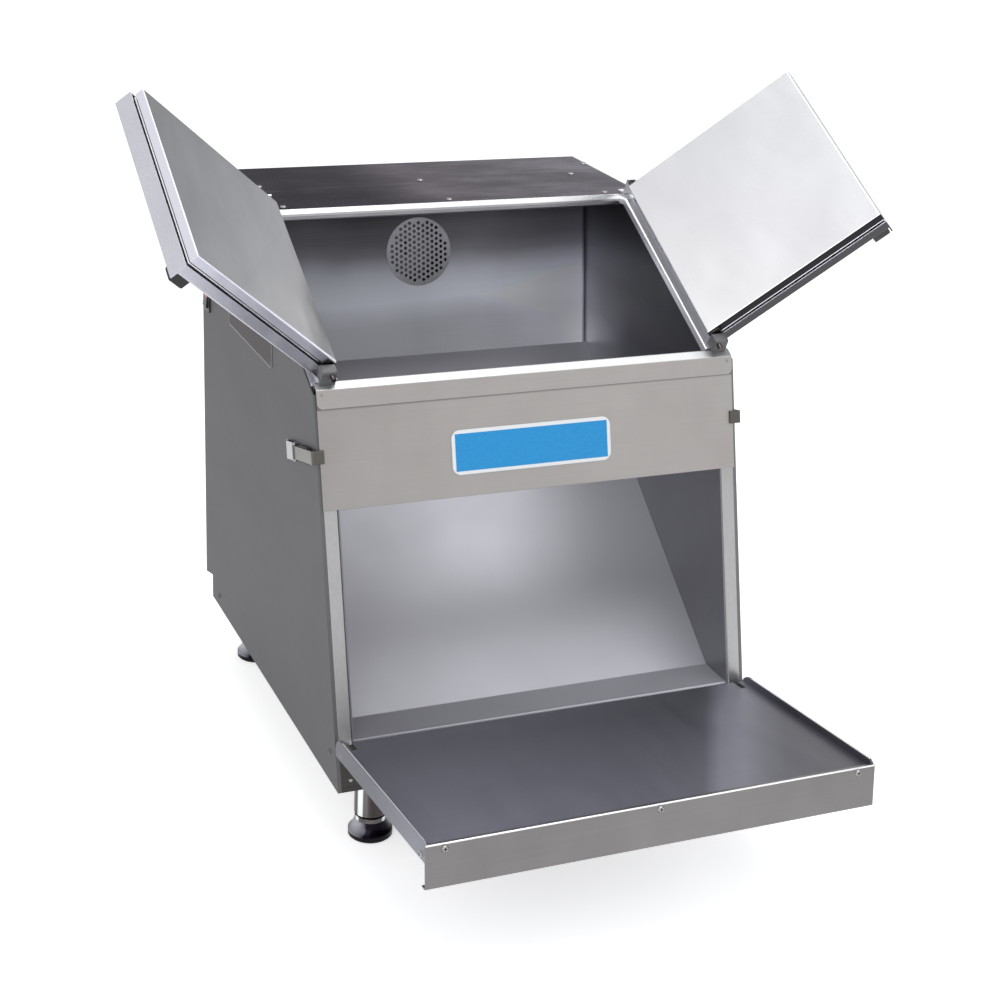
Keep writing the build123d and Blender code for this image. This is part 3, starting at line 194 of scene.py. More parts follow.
    def relief(self, height, strength, depth=0.0001):
        """Bump from a height, over edges that are slightly rounded."""
        bump = self.node("ShaderNodeBump")
        bump.inputs["Strength"].default_value = strength
        bump.inputs["Distance"].default_value = depth
        self.link(height, bump.inputs["Height"])
        bevel = self.node("ShaderNodeBevel", samples=4)
        bevel.inputs["Radius"].default_value = edge_radius
        self.link(bevel.outputs["Normal"], bump.inputs["Normal"])
        self.link(bump.outputs["Normal"], self.shader.inputs["Normal"])


def rgba(colour):
    """A colour with full opacity."""
    return (colour[0], colour[1], colour[2], 1.0)


def tint(colour, factor):
    """A colour made lighter or darker, and kept below full white."""
    return tuple(min(1.0, channel * factor) for channel in colour)


# A sheet's grain runs along one axis, so its noise is stretched along that axis.
grain_along = {
    "x": (6.0, 700.0, 700.0),
    "y": (700.0, 6.0, 700.0),
    "z": (700.0, 700.0, 6.0),
}


def steel(
    name, colour, roughness=0.34, grain="x", contrast=0.06, cloud=0.05,
    metallic=1.0, ridge=0.05, wipe=0.08,
):
    """Stainless sheet: fine rolled grain, slow clouds of tone and faint wipe marks."""
    finish = Finish(name, metallic, roughness)
    lines = finish.noise(finish.stretched(grain_along[grain]), detail=4.0, roughness=0.6)
    clouds = finish.noise(finish.stretched((7, 7, 7)), detail=4.0, distortion=0.4)
    wipes = finish.noise(finish.stretched((30, 5, 18), turn=(0.3, 0.5, 0.4)), detail=5.0)
    tone = finish.ramp(
        lines,
        [
            (0.30, tint(colour, 1 - contrast)),
            (0.50, colour),
            (0.72, tint(colour, 1 + contrast)),
        ],
    )
    shade = finish.span(clouds, noise_low, noise_high, 1 - cloud, 1 + cloud)
    finish.tone = finish.scaled(tone, shade)
    finish.paint(finish.tone)
    finish.roughen(wipes, 0.25, 0.75, roughness - wipe, roughness + wipe)
    finish.relief(lines, ridge, depth=0.00012)
    return finish


def moulded(name, colour, roughness=0.5, grain=900.0, strength=0.18):
    """Moulded or coated surface: fine grain, slow uneven tone and duller patches."""
    finish = Finish(name, 0.0, roughness)
    pebbles = finish.noise(finish.stretched((grain, grain, grain)), detail=2.0)
    patches = finish.noise(finish.stretched((40, 40, 40)), detail=4.0)
    stops = [(noise_low, tint(colour, 0.82)), (noise_high, tint(colour, 1.2))]
    finish.paint(finish.ramp(patches, stops))
    finish.roughen(patches, noise_low, noise_high, roughness - 0.08, roughness + 0.10)
    finish.relief(pebbles, strength, depth=0.0002)
    return finish


def dress(finish, *names):
    """Give a finish to CAD nodes."""
    for name in names:
        mesh = nodes[name].data
        mesh.materials.clear()
        mesh.materials.append(finish.material)


# ------------------------------------------------------------------------- finishes

front_colour = (0.368, 0.351, 0.343)
shadow_line = 0.0022        # under the rail's lower edge, on the fascia
shadow_tone = 0.50          # at the rail's edge
left_end_tone = 0.86        # the fascia darkens to this at its left end
left_end_share = 0.4        # from this share of the way out to that end

front_steel = steel("front_brushed_steel", front_colour, 0.42, "x", contrast=0.02, ridge=0.02)
under_rail = front_steel.span(
    front_steel.place("Z"), rail_low.z - shadow_line, rail_low.z, 1.0, shadow_tone,
)
left_end = front_steel.span(
    front_steel.place("X"), rail_low.x, rail_low.x * left_end_share, left_end_tone, 1.0,
)
front_shade = front_steel.sums("MULTIPLY", under_rail, left_end)
front_steel.paint(front_steel.scaled(front_steel.tone, front_shade))
dress(front_steel, "fascia")

# The rail has the front's finish, with a painted highlight where it faces up.
rail_steel = steel("rail_steel", front_colour, 0.42, "x", contrast=0.02, ridge=0.02)
rail_top_highlight = rail_steel.span(rail_steel.facing("Z"), 0.3, 0.8)
rail_steel.paint(rail_steel.mixed(rail_top_highlight, rail_steel.tone, (0.46, 0.465, 0.47)))
dress(rail_steel, "front_rail")

post_steel = steel("post_steel", (0.40, 0.395, 0.40), 0.36, "z")
dress(post_steel, "front_posts")

panel_steel = steel(
    "side_panel_steel", (0.137, 0.136, 0.140), 0.52, "z", contrast=0.02, cloud=0.02,
    metallic=0.8, ridge=0.02, wipe=0.03,
)
panel_steel.shader.inputs["Specular Tint"].default_value = (0.62, 0.62, 0.63, 1)
dress(panel_steel, "left_side_panel", "base_pan")
outer_steel = steel(
    "outer_panel_steel", (0.165, 0.163, 0.167), 0.48, "z", contrast=0.03, cloud=0.03,
    metallic=0.85, ridge=0.03, wipe=0.04,
)
dress(outer_steel, "right_side_panel", "back_panel")

shaded_steel = steel("shaded_steel", (0.055, 0.052, 0.050), 0.40, "x", contrast=0.08, cloud=0.10)
dress(shaded_steel, "kick_plate", "hinge_brackets")

rim_steel = steel("rim_steel", (0.88, 0.88, 0.91), 0.30, "y", metallic=0.8)
dress(rim_steel, "left_rim_channel", "right_rim_channel", "pivot_brackets")

channel_steel = steel("hood_channel_steel", (0.28, 0.28, 0.295), 0.34)
dress(channel_steel, "hood_channel")

# The tray's painted reflection, a pale patch, starts at a sharp line that runs back and to the
# right.
across_line = (0.875, -0.483)       # direction across that line, seen from above
across_start = -0.075               # its tones run from here
across_end = 0.451                  # to here, along that direction
line_start = 0.66                   # the line itself, as a share of that run
line_end = 0.715
tray_light_ramp_start = -0.30             # Y where the tray's painted shade and light start, nearer its hinge
tray_light_ramp_end = -0.48               # Y where that ends, near its front wall

tray_steel = steel(
    "tray_floor_steel", (0.150, 0.150, 0.175), 0.42, "x", contrast=0.03, metallic=0.45, ridge=0.04,
)
tray_sideways = tray_steel.sums("MULTIPLY", tray_steel.place("X"), across_line[0])
tray_outward = tray_steel.sums("MULTIPLY", tray_steel.place("Y"), across_line[1])
tray_across = tray_steel.sums("ADD", tray_sideways, tray_outward)
across_tray = tray_steel.span(tray_across, across_start, across_end)
tray_reflection_stops = [
    (0.23, (0.90, 0.90, 0.94)),
    (0.42, (0.73, 0.73, 0.77)),
    (line_start, (0.66, 0.66, 0.69)),
    (0.685, (0.70, 0.70, 0.72)),
    (line_end, (1.36, 1.38, 1.42)),
    (0.76, (1.26, 1.28, 1.31)),
    (0.80, (0.86, 0.86, 0.88)),
    (0.84, (0.60, 0.60, 0.61)),
    (1.0, (0.60, 0.60, 0.60)),
]
tray_reflection_tone = tray_steel.multiplied(tray_steel.tone, tray_steel.ramp(across_tray, tray_reflection_stops))
# Left of that line it has painted shade by its hinge and painted light by its front wall.
tray_light_and_shade = tray_steel.span(
    tray_steel.place("Y"), tray_light_ramp_start, tray_light_ramp_end, 0.76, 1.38,
)
left_of_line = tray_steel.span(across_tray, line_start, line_end, 1.0, 0.0)
tray_extra = tray_steel.sums("SUBTRACT", tray_light_and_shade, 1.0)
tray_shade = tray_steel.sums("ADD", tray_steel.sums("MULTIPLY", tray_extra, left_of_line), 1.0)
tray_steel.paint(tray_steel.scaled(tray_reflection_tone, tray_shade))
dress(tray_steel, "tray_pan")

tray_front_steel = steel(
    "tray_front_steel", (0.180, 0.173, 0.173), 0.38, "x", contrast=0.03, ridge=0.03,
)
dress(tray_front_steel, "tray_front")

latch_steel = steel("latch_steel", (0.118, 0.112, 0.102), 0.30, "y", contrast=0.03)
latch_base_steel = steel("latch_base_steel", (0.30, 0.30, 0.31), 0.26, "z", contrast=0.03)
for hand in ("left", "right"):
    dress(latch_steel, f"{hand}_latch_strap")
    dress(latch_base_steel, f"{hand}_latch_base")

bracket_steel = steel(
    "dark_bracket_steel", (0.10, 0.097, 0.093), 0.36, "y", contrast=0.08, cloud=0.10,
)
dress(bracket_steel, "heater_frame", "blower_housing")

# Directions on the open lids: out of the inner face, away from the hinge, and forwards.
left_inward = (0.701, -0.336, 0.629)
right_inward = (-0.724, -0.325, 0.608)
right_away = (0.690, -0.341, 0.639)
lid_forward = (0.0, -0.882, -0.471)


def lid_outer_finish(name, inward):
    """Outer skin of a lid, whose large face has painted shade, darker than its edges."""
    finish = steel(name, (0.58, 0.58, 0.64), 0.34, "y")
    large_face_shade = finish.span(finish.towards(inward), -0.97, -0.90, 0.56, 1.0)
    finish.toned = finish.scaled(finish.tone, large_face_shade)
    return finish


lid_steel = lid_outer_finish("lid_outer_steel", left_inward)
lid_steel.paint(lid_steel.toned)
dress(lid_steel, "left_lid_outer_pan")

# Painted shade: the right lid's front end is dark, and its free edge is grey, half in shade.
shaded_lid_steel = lid_outer_finish("shaded_lid_steel", right_inward)
front_end_shade = shaded_lid_steel.span(shaded_lid_steel.towards(lid_forward), 0.6, 0.85)
free_edge_shade = shaded_lid_steel.span(shaded_lid_steel.towards(right_away), 0.6, 0.85)
end_tone = shaded_lid_steel.mixed(front_end_shade, shaded_lid_steel.toned, (0.054, 0.054, 0.057))
shaded_lid_steel.paint(shaded_lid_steel.mixed(free_edge_shade, end_tone, (0.36, 0.36, 0.38)))
dress(shaded_lid_steel, "right_lid_outer_pan")

lid_bottom = hood_low.z - 0.10      # heights between which the open lids' painted light runs
lid_top = hood_high.z + 0.12


def lid_inner_finish(name, stops, inward):
    """Inner skin of a lid, whose flat face has painted light that follows its height."""
    finish = steel(name, (0.5, 0.5, 0.5), 0.38, "y", contrast=0.02, cloud=0.04, ridge=0.03)
    height = finish.span(finish.place("Z"), lid_bottom, lid_top)
    finish.toned = finish.multiplied(finish.tone, finish.ramp(height, stops))
    finish.face = finish.span(finish.towards(inward), 0.6, 0.9)
    return finish


left_lid_light_stops = [
    (0.0, (1.60, 1.60, 1.64)),
    (0.25, (1.22, 1.22, 1.26)),
    (0.45, (0.60, 0.61, 0.64)),
    (0.7, (0.44, 0.45, 0.48)),
    (1.0, (0.33, 0.335, 0.36)),
]
left_inner = lid_inner_finish("left_lid_inner_steel", left_lid_light_stops, left_inward)
# Painted light: the left lid's inner edges are pale.
left_inner.paint(left_inner.mixed(left_inner.face, (0.70, 0.70, 0.78), left_inner.toned))
dress(left_inner, "left_lid_inner_pan")

right_lid_light_stops = [
    (0.0, (1.72, 1.72, 1.75)),
    (0.5, (1.34, 1.34, 1.39)),
    (1.0, (1.26, 1.28, 1.33)),
]
right_inner = lid_inner_finish("right_lid_inner_steel", right_lid_light_stops, right_inward)
# Painted shade: the right lid's inner edges are grey, and near-black at its front end.
right_front_shade = right_inner.span(right_inner.towards(lid_forward), 0.5, 0.8)
right_edge_shade = right_inner.mixed(right_front_shade, (0.40, 0.40, 0.42), (0.014, 0.014, 0.016))
right_inner.paint(right_inner.mixed(right_inner.face, right_edge_shade, right_inner.toned))
dress(right_inner, "right_lid_inner_pan")

hood_lip_share = 0.28       # the lip is grey below this share of the hood's height, with a painted highlight above it
side_fold_start = 0.0022    # the top's painted fold highlights, in from the hood's sides
side_fold_end = 0.0016
back_fold_start = 0.0034    # and in from its back
back_fold_end = 0.0026


def hood_finish():
    """Dark mirror-like top with painted reflections in long soft streaks and patches, painted
    light growing towards its right end, and painted highlights on its pale folds.

    The front lip has a bright painted highlight over a grey foot, and the sides and back are grey.
    """
    finish = Finish("hood_mirror_steel", 1.0, 0.2)
    finish.shader.inputs["Specular Tint"].default_value = (0.35, 0.35, 0.36, 1)
    # Painted reflections: long soft streaks and smears across the dark top.
    streaks = finish.noise(finish.stretched((3, 45, 3)), detail=6.0, roughness=0.65)
    smears = finish.noise(finish.stretched((16, 150, 16), turn=(0, 0, 0.12)), detail=5.0)
    both = finish.sums(
        "ADD", finish.sums("MULTIPLY", streaks, 0.55), finish.sums("MULTIPLY", smears, 0.45),
    )
    top = finish.ramp(
        both,
        [
            (0.36, (0.079, 0.074, 0.080)),
            (0.52, (0.088, 0.083, 0.090)),
            (0.60, (0.096, 0.091, 0.099)),
            (0.70, (0.122, 0.118, 0.126)),
        ],
    )
    # Painted light: the top grows lighter towards its right end.
    across = finish.span(finish.place("X"), hood_low.x, hood_high.x)
    light = finish.ramp(
        across,
        [
            (0.0, (1.20, 1.20, 1.20)),
            (0.15, (0.88, 0.86, 0.90)),
            (0.32, (1.10, 1.08, 1.12)),
            (0.48, (2.60, 2.50, 2.55)),
            (0.75, (3.00, 3.00, 3.03)),
            (1.0, (3.40, 3.45, 3.50)),
        ],
    )
    top = finish.multiplied(top, light)
    # Painted reflections: soft patches over the top.
    patches = finish.noise(
        finish.stretched((11, 19, 11), turn=(0, 0, 0.35)), detail=6.0, roughness=0.62,
    )
    top = finish.scaled(top, finish.span(patches, 0.44, 0.70, 0.94, 1.42))
    upward = finish.span(finish.facing("Z"), 0.55, 0.9)
    # Painted highlight: a bright band along the upper part of the front lip.
    lip_middle = hood_low.z + hood_lip_share * (hood_high.z - hood_low.z)
    bright = finish.span(finish.place("Z"), lip_middle - 0.0003, lip_middle + 0.0003)
    lip = finish.mixed(bright, (0.36, 0.36, 0.375), (0.99, 0.99, 1.0))
    other_sides = finish.span(finish.facing("Y"), -0.6, -0.2)
    lip = finish.mixed(other_sides, lip, (0.34, 0.34, 0.35))
    # Painted highlights along the top's side and back folds.
    side_fold_highlight = finish.span(
        finish.from_middle("X"), hood_high.x - side_fold_start, hood_high.x - side_fold_end,
    )
    back_fold_highlight = finish.span(
        finish.place("Y"), hood_high.y - back_fold_start, hood_high.y - back_fold_end,
    )
    fold = finish.sums("MAXIMUM", side_fold_highlight, back_fold_highlight)
    top = finish.mixed(fold, top, (0.60, 0.60, 0.61))
    finish.paint(finish.mixed(upward, lip, top))
    finish.roughen(both, 0.35, 0.7, 0.20, 0.32)
    finish.relief(smears, 0.03)
    return finish


dress(hood_finish(), "hood")

seam_start = 0.005          # the darker band at the back wall's ends, in from its corners
seam_end = 0.001


def hopper_finish(name, stops, axis, ends, sides, metallic=0.75, seam=1.0):
    """Hopper steel with painted light and shade by its height and along one axis.

    The seam argument, below 1, darkens a band by the corners, and metallic is how much it mirrors.
    """
    finish = Finish(name, metallic, 0.42)
    grain = finish.noise(finish.stretched(grain_along["x"]), detail=3.0)
    clouds = finish.noise(finish.stretched((6, 6, 6)), detail=3.0)
    sway = finish.sums("MULTIPLY", finish.sums("SUBTRACT", clouds, 0.5), 0.03)
    height = finish.sums("ADD", finish.place("Z"), sway)
    shade = finish.ramp(finish.span(height, wall_low.z, wall_high.z), stops)
    along = finish.span(finish.place(axis), ends[0], ends[1])
    shade = finish.multiplied(shade, finish.ramp(along, sides))
    corner = finish.span(
        finish.from_middle("X"), wall_high.x - seam_start, wall_high.x - seam_end, 1.0, seam,
    )
    grain_share = finish.span(grain, noise_low, noise_high, 0.0, 0.06)
    colour = finish.mixed(grain_share, shade, (0.3, 0.3, 0.32))
    finish.paint(finish.scaled(colour, corner))
    finish.roughen(clouds, noise_low, noise_high, 0.36, 0.48)
    finish.relief(grain, 0.04)
    return finish


# Painted shade and light: the back wall is dark near the top, under the hood, and paler lower
# down.
wall_light_and_shade_stops = [
    (0.0, (0.46, 0.47, 0.50)),
    (0.22, (0.52, 0.53, 0.58)),
    (0.34, (0.68, 0.70, 0.78)),
    (0.42, (0.58, 0.60, 0.67)),
    (0.50, (0.43, 0.44, 0.50)),
    (0.56, (0.28, 0.285, 0.32)),
    (0.61, (0.160, 0.160, 0.180)),
    (0.68, (0.102, 0.102, 0.116)),
    (0.76, (0.084, 0.084, 0.095)),
    (0.90, (0.012, 0.012, 0.014)),
]
wall_ends = (wall_low.x, wall_high.x)
# Painted light: the back wall grows lighter towards its right end.
wall_side_light = [
    (0.0, (0.80, 0.80, 0.80)),
    (0.5, (0.96, 0.96, 0.96)),
    (0.75, (1.50, 1.50, 1.50)),
    (1.0, (2.20, 2.20, 2.20)),
]
back_wall = hopper_finish(
    "hopper_back_wall_steel", wall_light_and_shade_stops, "X", wall_ends, wall_side_light, seam=0.12,
)
dress(back_wall, "hopper_back_wall")

# Painted shade and light: the side walls darken towards the top.
liner_light_and_shade_stops = [
    (0.0, (0.45, 0.45, 0.49)),
    (0.25, (0.19, 0.19, 0.22)),
    (0.50, (0.090, 0.092, 0.110)),
    (0.66, (0.110, 0.112, 0.128)),
    (0.75, (0.068, 0.069, 0.079)),
    (0.84, (0.040, 0.040, 0.046)),
    (0.93, (0.028, 0.028, 0.032)),
]
liner_ends = (-0.02, 0.18)      # Y from the front to the back of the side walls' painted light
# Painted light: the side walls grow lighter towards the back.
liner_side_light = [
    (0.30, (0.45, 0.45, 0.45)),
    (0.50, (0.72, 0.72, 0.72)),
    (0.70, (1.00, 1.00, 1.00)),
    (0.93, (1.50, 1.50, 1.50)),
]
side_walls = hopper_finish("hopper_side_steel", liner_light_and_shade_stops, "Y", liner_ends, liner_side_light)
dress(side_walls, "left_liner_wall", "right_liner_wall")

# Painted light and shade: the chute floor grows lighter towards its right end.
chute_light_and_shade_stops = [(0.0, (0.30, 0.30, 0.33)), (1.0, (0.26, 0.26, 0.29))]
chute_side_light = [(0.0, (0.65, 0.65, 0.65)), (1.0, (1.45, 1.45, 1.45))]
chute = hopper_finish(
    "hopper_floor_steel", chute_light_and_shade_stops, "X", wall_ends, chute_side_light, metallic=0.6,
)
dress(chute, "chute_floor")

grille_steel = steel("grille_steel", (0.25, 0.25, 0.275), 0.34, "x")
dress(grille_steel, "vent_grille")

# Each painted highlight down a leg is a bright streak where its round side faces one way.
barrel_highlight_side = (-0.854, -0.521, 0.0)
neck_left_highlight_side = (-0.974, -0.228, 0.0)
neck_right_highlight_side = (0.595, -0.803, 0.0)
flare_highlight_side = (-0.93, -0.18, 0.32)

chrome = Finish("polished_leg_chrome", 1.0, 0.14)
smudges_and_reflections = chrome.noise(chrome.stretched((110, 110, 3)), detail=3.0)
# Painted reflections: the barrels' tone runs in vertical bands, and the same noise gives smudges
# in their roughness.
reflection_bands = chrome.ramp(
    smudges_and_reflections,
    [
        (0.38, (0.052, 0.045, 0.043)),
        (0.55, (0.088, 0.078, 0.075)),
        (0.66, (0.150, 0.141, 0.138)),
    ],
)
barrel_highlight = chrome.span(chrome.towards(barrel_highlight_side), 0.972, 0.990)
chrome.paint(chrome.mixed(barrel_highlight, reflection_bands, (0.86, 0.86, 0.87)))
chrome.roughen(smudges_and_reflections, noise_low, noise_high, 0.10, 0.22)
turning = chrome.noise(chrome.stretched((4, 4, 900)), detail=2.0)
chrome.relief(turning, 0.05)
dress(chrome, "leg_barrels", "tray_pins", "left_lid_pins", "right_lid_pins")


def foot_finish():
    """Polished neck with two painted highlight streaks, and dark flare with a painted highlight to
    one side, over a black base.
    """
    finish = Finish("levelling_foot", 1.0, 0.2)
    above = finish.span(finish.place("Z"), foot_neck_height, foot_neck_height + 0.0006)
    worn = finish.noise(finish.stretched((120, 120, 120)), detail=4.0)
    black_stops = [(noise_low, (0.006, 0.004, 0.008)), (noise_high, (0.012, 0.010, 0.015))]
    polish_stops = [(noise_low, (0.085, 0.078, 0.076)), (noise_high, (0.150, 0.140, 0.137))]
    black = finish.ramp(worn, black_stops)
    # Painted highlights: a pale side on the flare and two bright streaks down the neck.
    pale_side = finish.span(finish.towards(flare_highlight_side), 0.72, 1.0)
    flare = finish.mixed(pale_side, black, (0.34, 0.34, 0.39))
    polish = finish.ramp(worn, polish_stops)
    left_highlight = finish.span(finish.towards(neck_left_highlight_side), 0.975, 0.995)
    right_highlight = finish.span(finish.towards(neck_right_highlight_side), 0.975, 0.995)
    streak = finish.sums("MAXIMUM", left_highlight, right_highlight)
    neck = finish.mixed(streak, polish, (0.85, 0.85, 0.86))
    base = finish.span(finish.place("Z"), foot_base_height, foot_base_height + 0.001)
    finish.paint(finish.mixed(above, finish.mixed(base, black, flare), neck))
    finish.shader.inputs["Specular IOR Level"].default_value = 0.12
    finish.link(base, finish.shader.inputs["Metallic"])
    finish.roughen(above, 0, 1, 0.30, 0.16)
    finish.relief(worn, 0.05)
    return finish


dress(foot_finish(), "front_left_foot", "front_right_foot", "back_left_foot", "back_right_foot")

# ------------------------------------------------------- screws, polymers and inner pieces

screw_steel = steel("screw_steel", (0.34, 0.33, 0.33), 0.25, "x")
dress(screw_steel, "hood_screws", "tray_screws")
flush_screw_steel = steel("side_screw_steel", (0.125, 0.124, 0.128), 0.35, "x")
dress(flush_screw_steel, "body_screws")

block_polymer = moulded("bearing_block_polymer", (0.105, 0.105, 0.11), 0.42)
dress(block_polymer, "pivot_blocks")
dark_polymer = moulded("core_polymer", (0.030, 0.030, 0.034), 0.5)
dress(dark_polymer, "left_lid_core", "right_lid_core", "thermostat")

rubber = moulded("black_rubber", (0.018, 0.018, 0.019), 0.6, grain=600.0, strength=0.3)
dress(rubber, "left_lid_bumper", "right_lid_bumper", "left_latch_grip", "right_latch_grip")
dress(rubber, "cord_gland")

switch_black = moulded("switch_black", (0.012, 0.012, 0.013), 0.35, grain=1400.0, strength=0.1)
dress(switch_black, "rocker_bezel", "rocker_button")

lens_red = moulded("lens_red", (0.30, 0.012, 0.016), 0.2, grain=700.0, strength=0.03)
dress(lens_red, "rocker_lens")

motor_paint = moulded("motor_paint", (0.05, 0.05, 0.055), 0.4)
dress(motor_paint, "blower_motor")

wheel_metal = steel(
    "wheel_aluminium", (0.30, 0.31, 0.33), 0.35, "z", contrast=0.05, cloud=0.08,
)
dress(wheel_metal, "fan_wheel", "heater_element")

ivory_polymer = moulded("terminal_polymer", (0.68, 0.64, 0.52), 0.45)
dress(ivory_polymer, "terminal_block")

# ------------------------------------------------------------------ badge and side plate


def badge_finish():
    """Printed plate: a blue field inside a pale border, with a soft gloss."""
    finish = Finish("badge_print", 0.0, 0.28)
    border = 0.0035
    gap_x = finish.inside(badge_low, badge_high, "X")
    gap_z = finish.inside(badge_low, badge_high, "Z")
    field = finish.span(finish.sums("MINIMUM", gap_x, gap_z), border, border + 0.0004)
    print_grain = finish.noise(finish.stretched((500, 500, 500)), detail=2.0)
    blue_stops = [(noise_low, (0.010, 0.26, 0.60)), (noise_high, (0.014, 0.31, 0.68))]
    blue = finish.ramp(print_grain, blue_stops)
    finish.paint(finish.mixed(field, (0.82, 0.84, 0.86), blue))
    finish.relief(print_grain, 0.04)
    return finish


dress(badge_finish(), "badge_plate")


def label_finish():
    """Bare grey plate with a pale rim."""
    finish = Finish("side_plate_print", 0.0, 0.45)
    finish.shader.inputs["Specular IOR Level"].default_value = 0.12
    rim = 0.0018
    gap_y = finish.inside(label_low, label_high, "Y")
    gap_z = finish.inside(label_low, label_high, "Z")
    field = finish.span(finish.sums("MINIMUM", gap_y, gap_z), rim, rim + 0.0003)
    worn = finish.noise(finish.stretched((200, 200, 200)), detail=3.0)
    grey_stops = [(noise_low, (0.040, 0.032, 0.035)), (noise_high, (0.056, 0.044, 0.048))]
    grey = finish.ramp(worn, grey_stops)
    finish.paint(finish.mixed(field, (0.24, 0.24, 0.25), grey))
    finish.relief(worn, 0.05)
    return finish


dress(label_finish(), "label_plate")


# ---------------------------------------------------------------- trim and fastenings

# Painted highlight: this near-white trim stands for the bright lines along the lid seams and the
# tray's top edges.
highlight_trim_steel = steel("painted_highlight_trim_steel", (0.86, 0.86, 0.88), 0.22, "x", contrast=0.03)
# Painted shade: the screw recesses are black crosses laid in the heads.
recess_shade_black = moulded("screw_recess_shade", (0.012, 0.012, 0.012), 0.5)
bolt_steel = steel("bolt_steel", (0.30, 0.29, 0.28), 0.28, "x")

same_point = 1e-6           # corners nearer than this are one
flat_angle = 0.01           # radians between triangles that are one flat
sharp_angle = 0.6           # edges sharper than this are rounded


def fitted(shape, name, finish, body):
    """Turns a finished shape into a piece in its place, riding on its body."""
    bmesh.ops.recalc_face_normals(shape, faces=shape.faces)
    mesh = bpy.data.meshes.new(name)
    shape.to_mesh(mesh)
    shape.free()
    mesh.materials.append(finish.material)
    piece = bpy.data.objects.new(name, mesh)
    bpy.context.scene.collection.objects.link(piece)
    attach(piece, body)


def joined(name):
    """A copy of a CAD node's mesh with its triangles joined and its flats whole."""
    shape = bmesh.new()
    shape.from_mesh(nodes[name].data)
    bmesh.ops.remove_doubles(shape, verts=shape.verts, dist=same_point)
    bmesh.ops.dissolve_limit(
        shape, angle_limit=flat_angle, verts=shape.verts, edges=shape.edges,
    )
    return shape


def everything(shape):
    """All the corners, edges and faces of a shape."""
    return shape.verts[:] + shape.edges[:] + shape.faces[:]


def softened(shape, width):
    """Rounds the sharp edges of a shape."""
    whole = [edge for edge in shape.edges if len(edge.link_faces) == 2]
    sharp = [edge for edge in whole if edge.calc_face_angle() > sharp_angle]
    bmesh.ops.bevel(
        shape, geom=sharp, offset=width, segments=2, profile=0.5, affect="EDGES", material=-1,
    )


inner_skin = 0.0015         # from a lid's core out to the lid's inner face
bead_depth = 0.01225        # from that face to the middle of the seam
bead_half = 0.0008          # half the bead's width
bead_proud = 0.0019         # how far it stands out of the core
bead_round = 0.0004         # how far its edges are rounded


def seam_bead(hand, inward):
    """Bead round a lid's core, in the seam between its two pans, bright as a painted highlight."""
    inward = Vector(inward)
    shape = joined(f"{hand}_lid_core")
    inner = max(vert.co.dot(inward) for vert in shape.verts)
    middle = inward * (inner + inner_skin - bead_depth)
    for side in (1, -1):
        bmesh.ops.bisect_plane(
            shape, geom=everything(shape), plane_co=middle + inward * side * bead_half,
            plane_no=inward * side, clear_outer=True,
        )
    bmesh.ops.recalc_face_normals(shape, faces=shape.faces)
    bmesh.ops.solidify(shape, geom=shape.faces[:], thickness=-bead_proud)
    softened(shape, bead_round)
    fitted(shape, f"{hand}_lid_seam_bead", highlight_trim_steel, f"{hand}_lid")


seam_bead("left", left_inward)
seam_bead("right", right_inward)


def facing_along(direction):
    """The turn that brings an upright shape to a direction."""
    return direction.to_track_quat("Z", "Y").to_matrix().to_4x4()


def rounded_rod(start, end, radius):
    """A rod between two points with rounded ends."""
    shape = bmesh.new()
    bmesh.ops.create_cone(
        shape, cap_ends=True, segments=12, radius1=radius, radius2=radius,
        depth=(end - start).length,
    )
    softened(shape, radius * 0.4)
    place = Matrix.Translation((start + end) / 2)
    bmesh.ops.transform(shape, matrix=place @ facing_along(end - start), verts=shape.verts)
    return shape


# The open tray's own directions, from its hinge line.
tray_climb = math.radians(6.2)
tray_hinge = Vector((0, -0.26816, 0.12552))
tray_out = Vector((0, -math.cos(tray_climb), math.sin(tray_climb)))
tray_up = Vector((0, math.sin(tray_climb), math.cos(tray_climb)))

# The rolled edges, from that hinge line.
front_edge_half = 0.2345    # half its length
front_edge_out = 0.2416
front_edge_up = 0.0115
front_edge_radius = 0.0009
side_edge_across = 0.23375
side_edge_start = 0.004     # out from the hinge line
side_edge_end = 0.2350
side_edge_up = 0.0150
side_edge_radius = 0.00125


def on_tray(across, out, up):
    """A point of the open tray, measured from its hinge line."""
    return Vector((across, 0, 0)) + tray_hinge + tray_out * out + tray_up * up


def tray_edges():
    """Rolled edges along the tops of the tray's front and side walls, bright as a painted
    highlight.
    """
    front_left = on_tray(-front_edge_half, front_edge_out, front_edge_up)
    front_right = on_tray(front_edge_half, front_edge_out, front_edge_up)
    front = rounded_rod(front_left, front_right, front_edge_radius)
    fitted(front, "tray_front_rolled_edge", highlight_trim_steel, "tray")
    for hand, side in (("left", -1), ("right", 1)):
        near_hinge = on_tray(side * side_edge_across, side_edge_start, side_edge_up)
        near_front = on_tray(side * side_edge_across, side_edge_end, side_edge_up)
        wall = rounded_rod(near_hinge, near_front, side_edge_radius)
        fitted(wall, f"tray_{hand}_rolled_edge", highlight_trim_steel, "tray")


tray_edges()


def islands(shape):
    """The separate solids of a joined mesh, each as a list of its vertices."""
    left = set(shape.verts)
    found = []
    while left:
        waiting = [left.pop()]
        island = []
        while waiting:
            vert = waiting.pop()
            island.append(vert)
            for edge in vert.link_edges:
                other = edge.other_vert(vert)
                if other in left:
                    left.remove(other)
                    waiting.append(other)
        found.append(island)
    return found


cross_share = 0.52          # half the cross, as a share of its screw head's radius
arm_share = 0.45            # the grid's faces beyond this share are not its arms
cross_height = 0.0002       # the cross's own thickness
cross_sink = 0.00012        # how much of that is sunk in the head


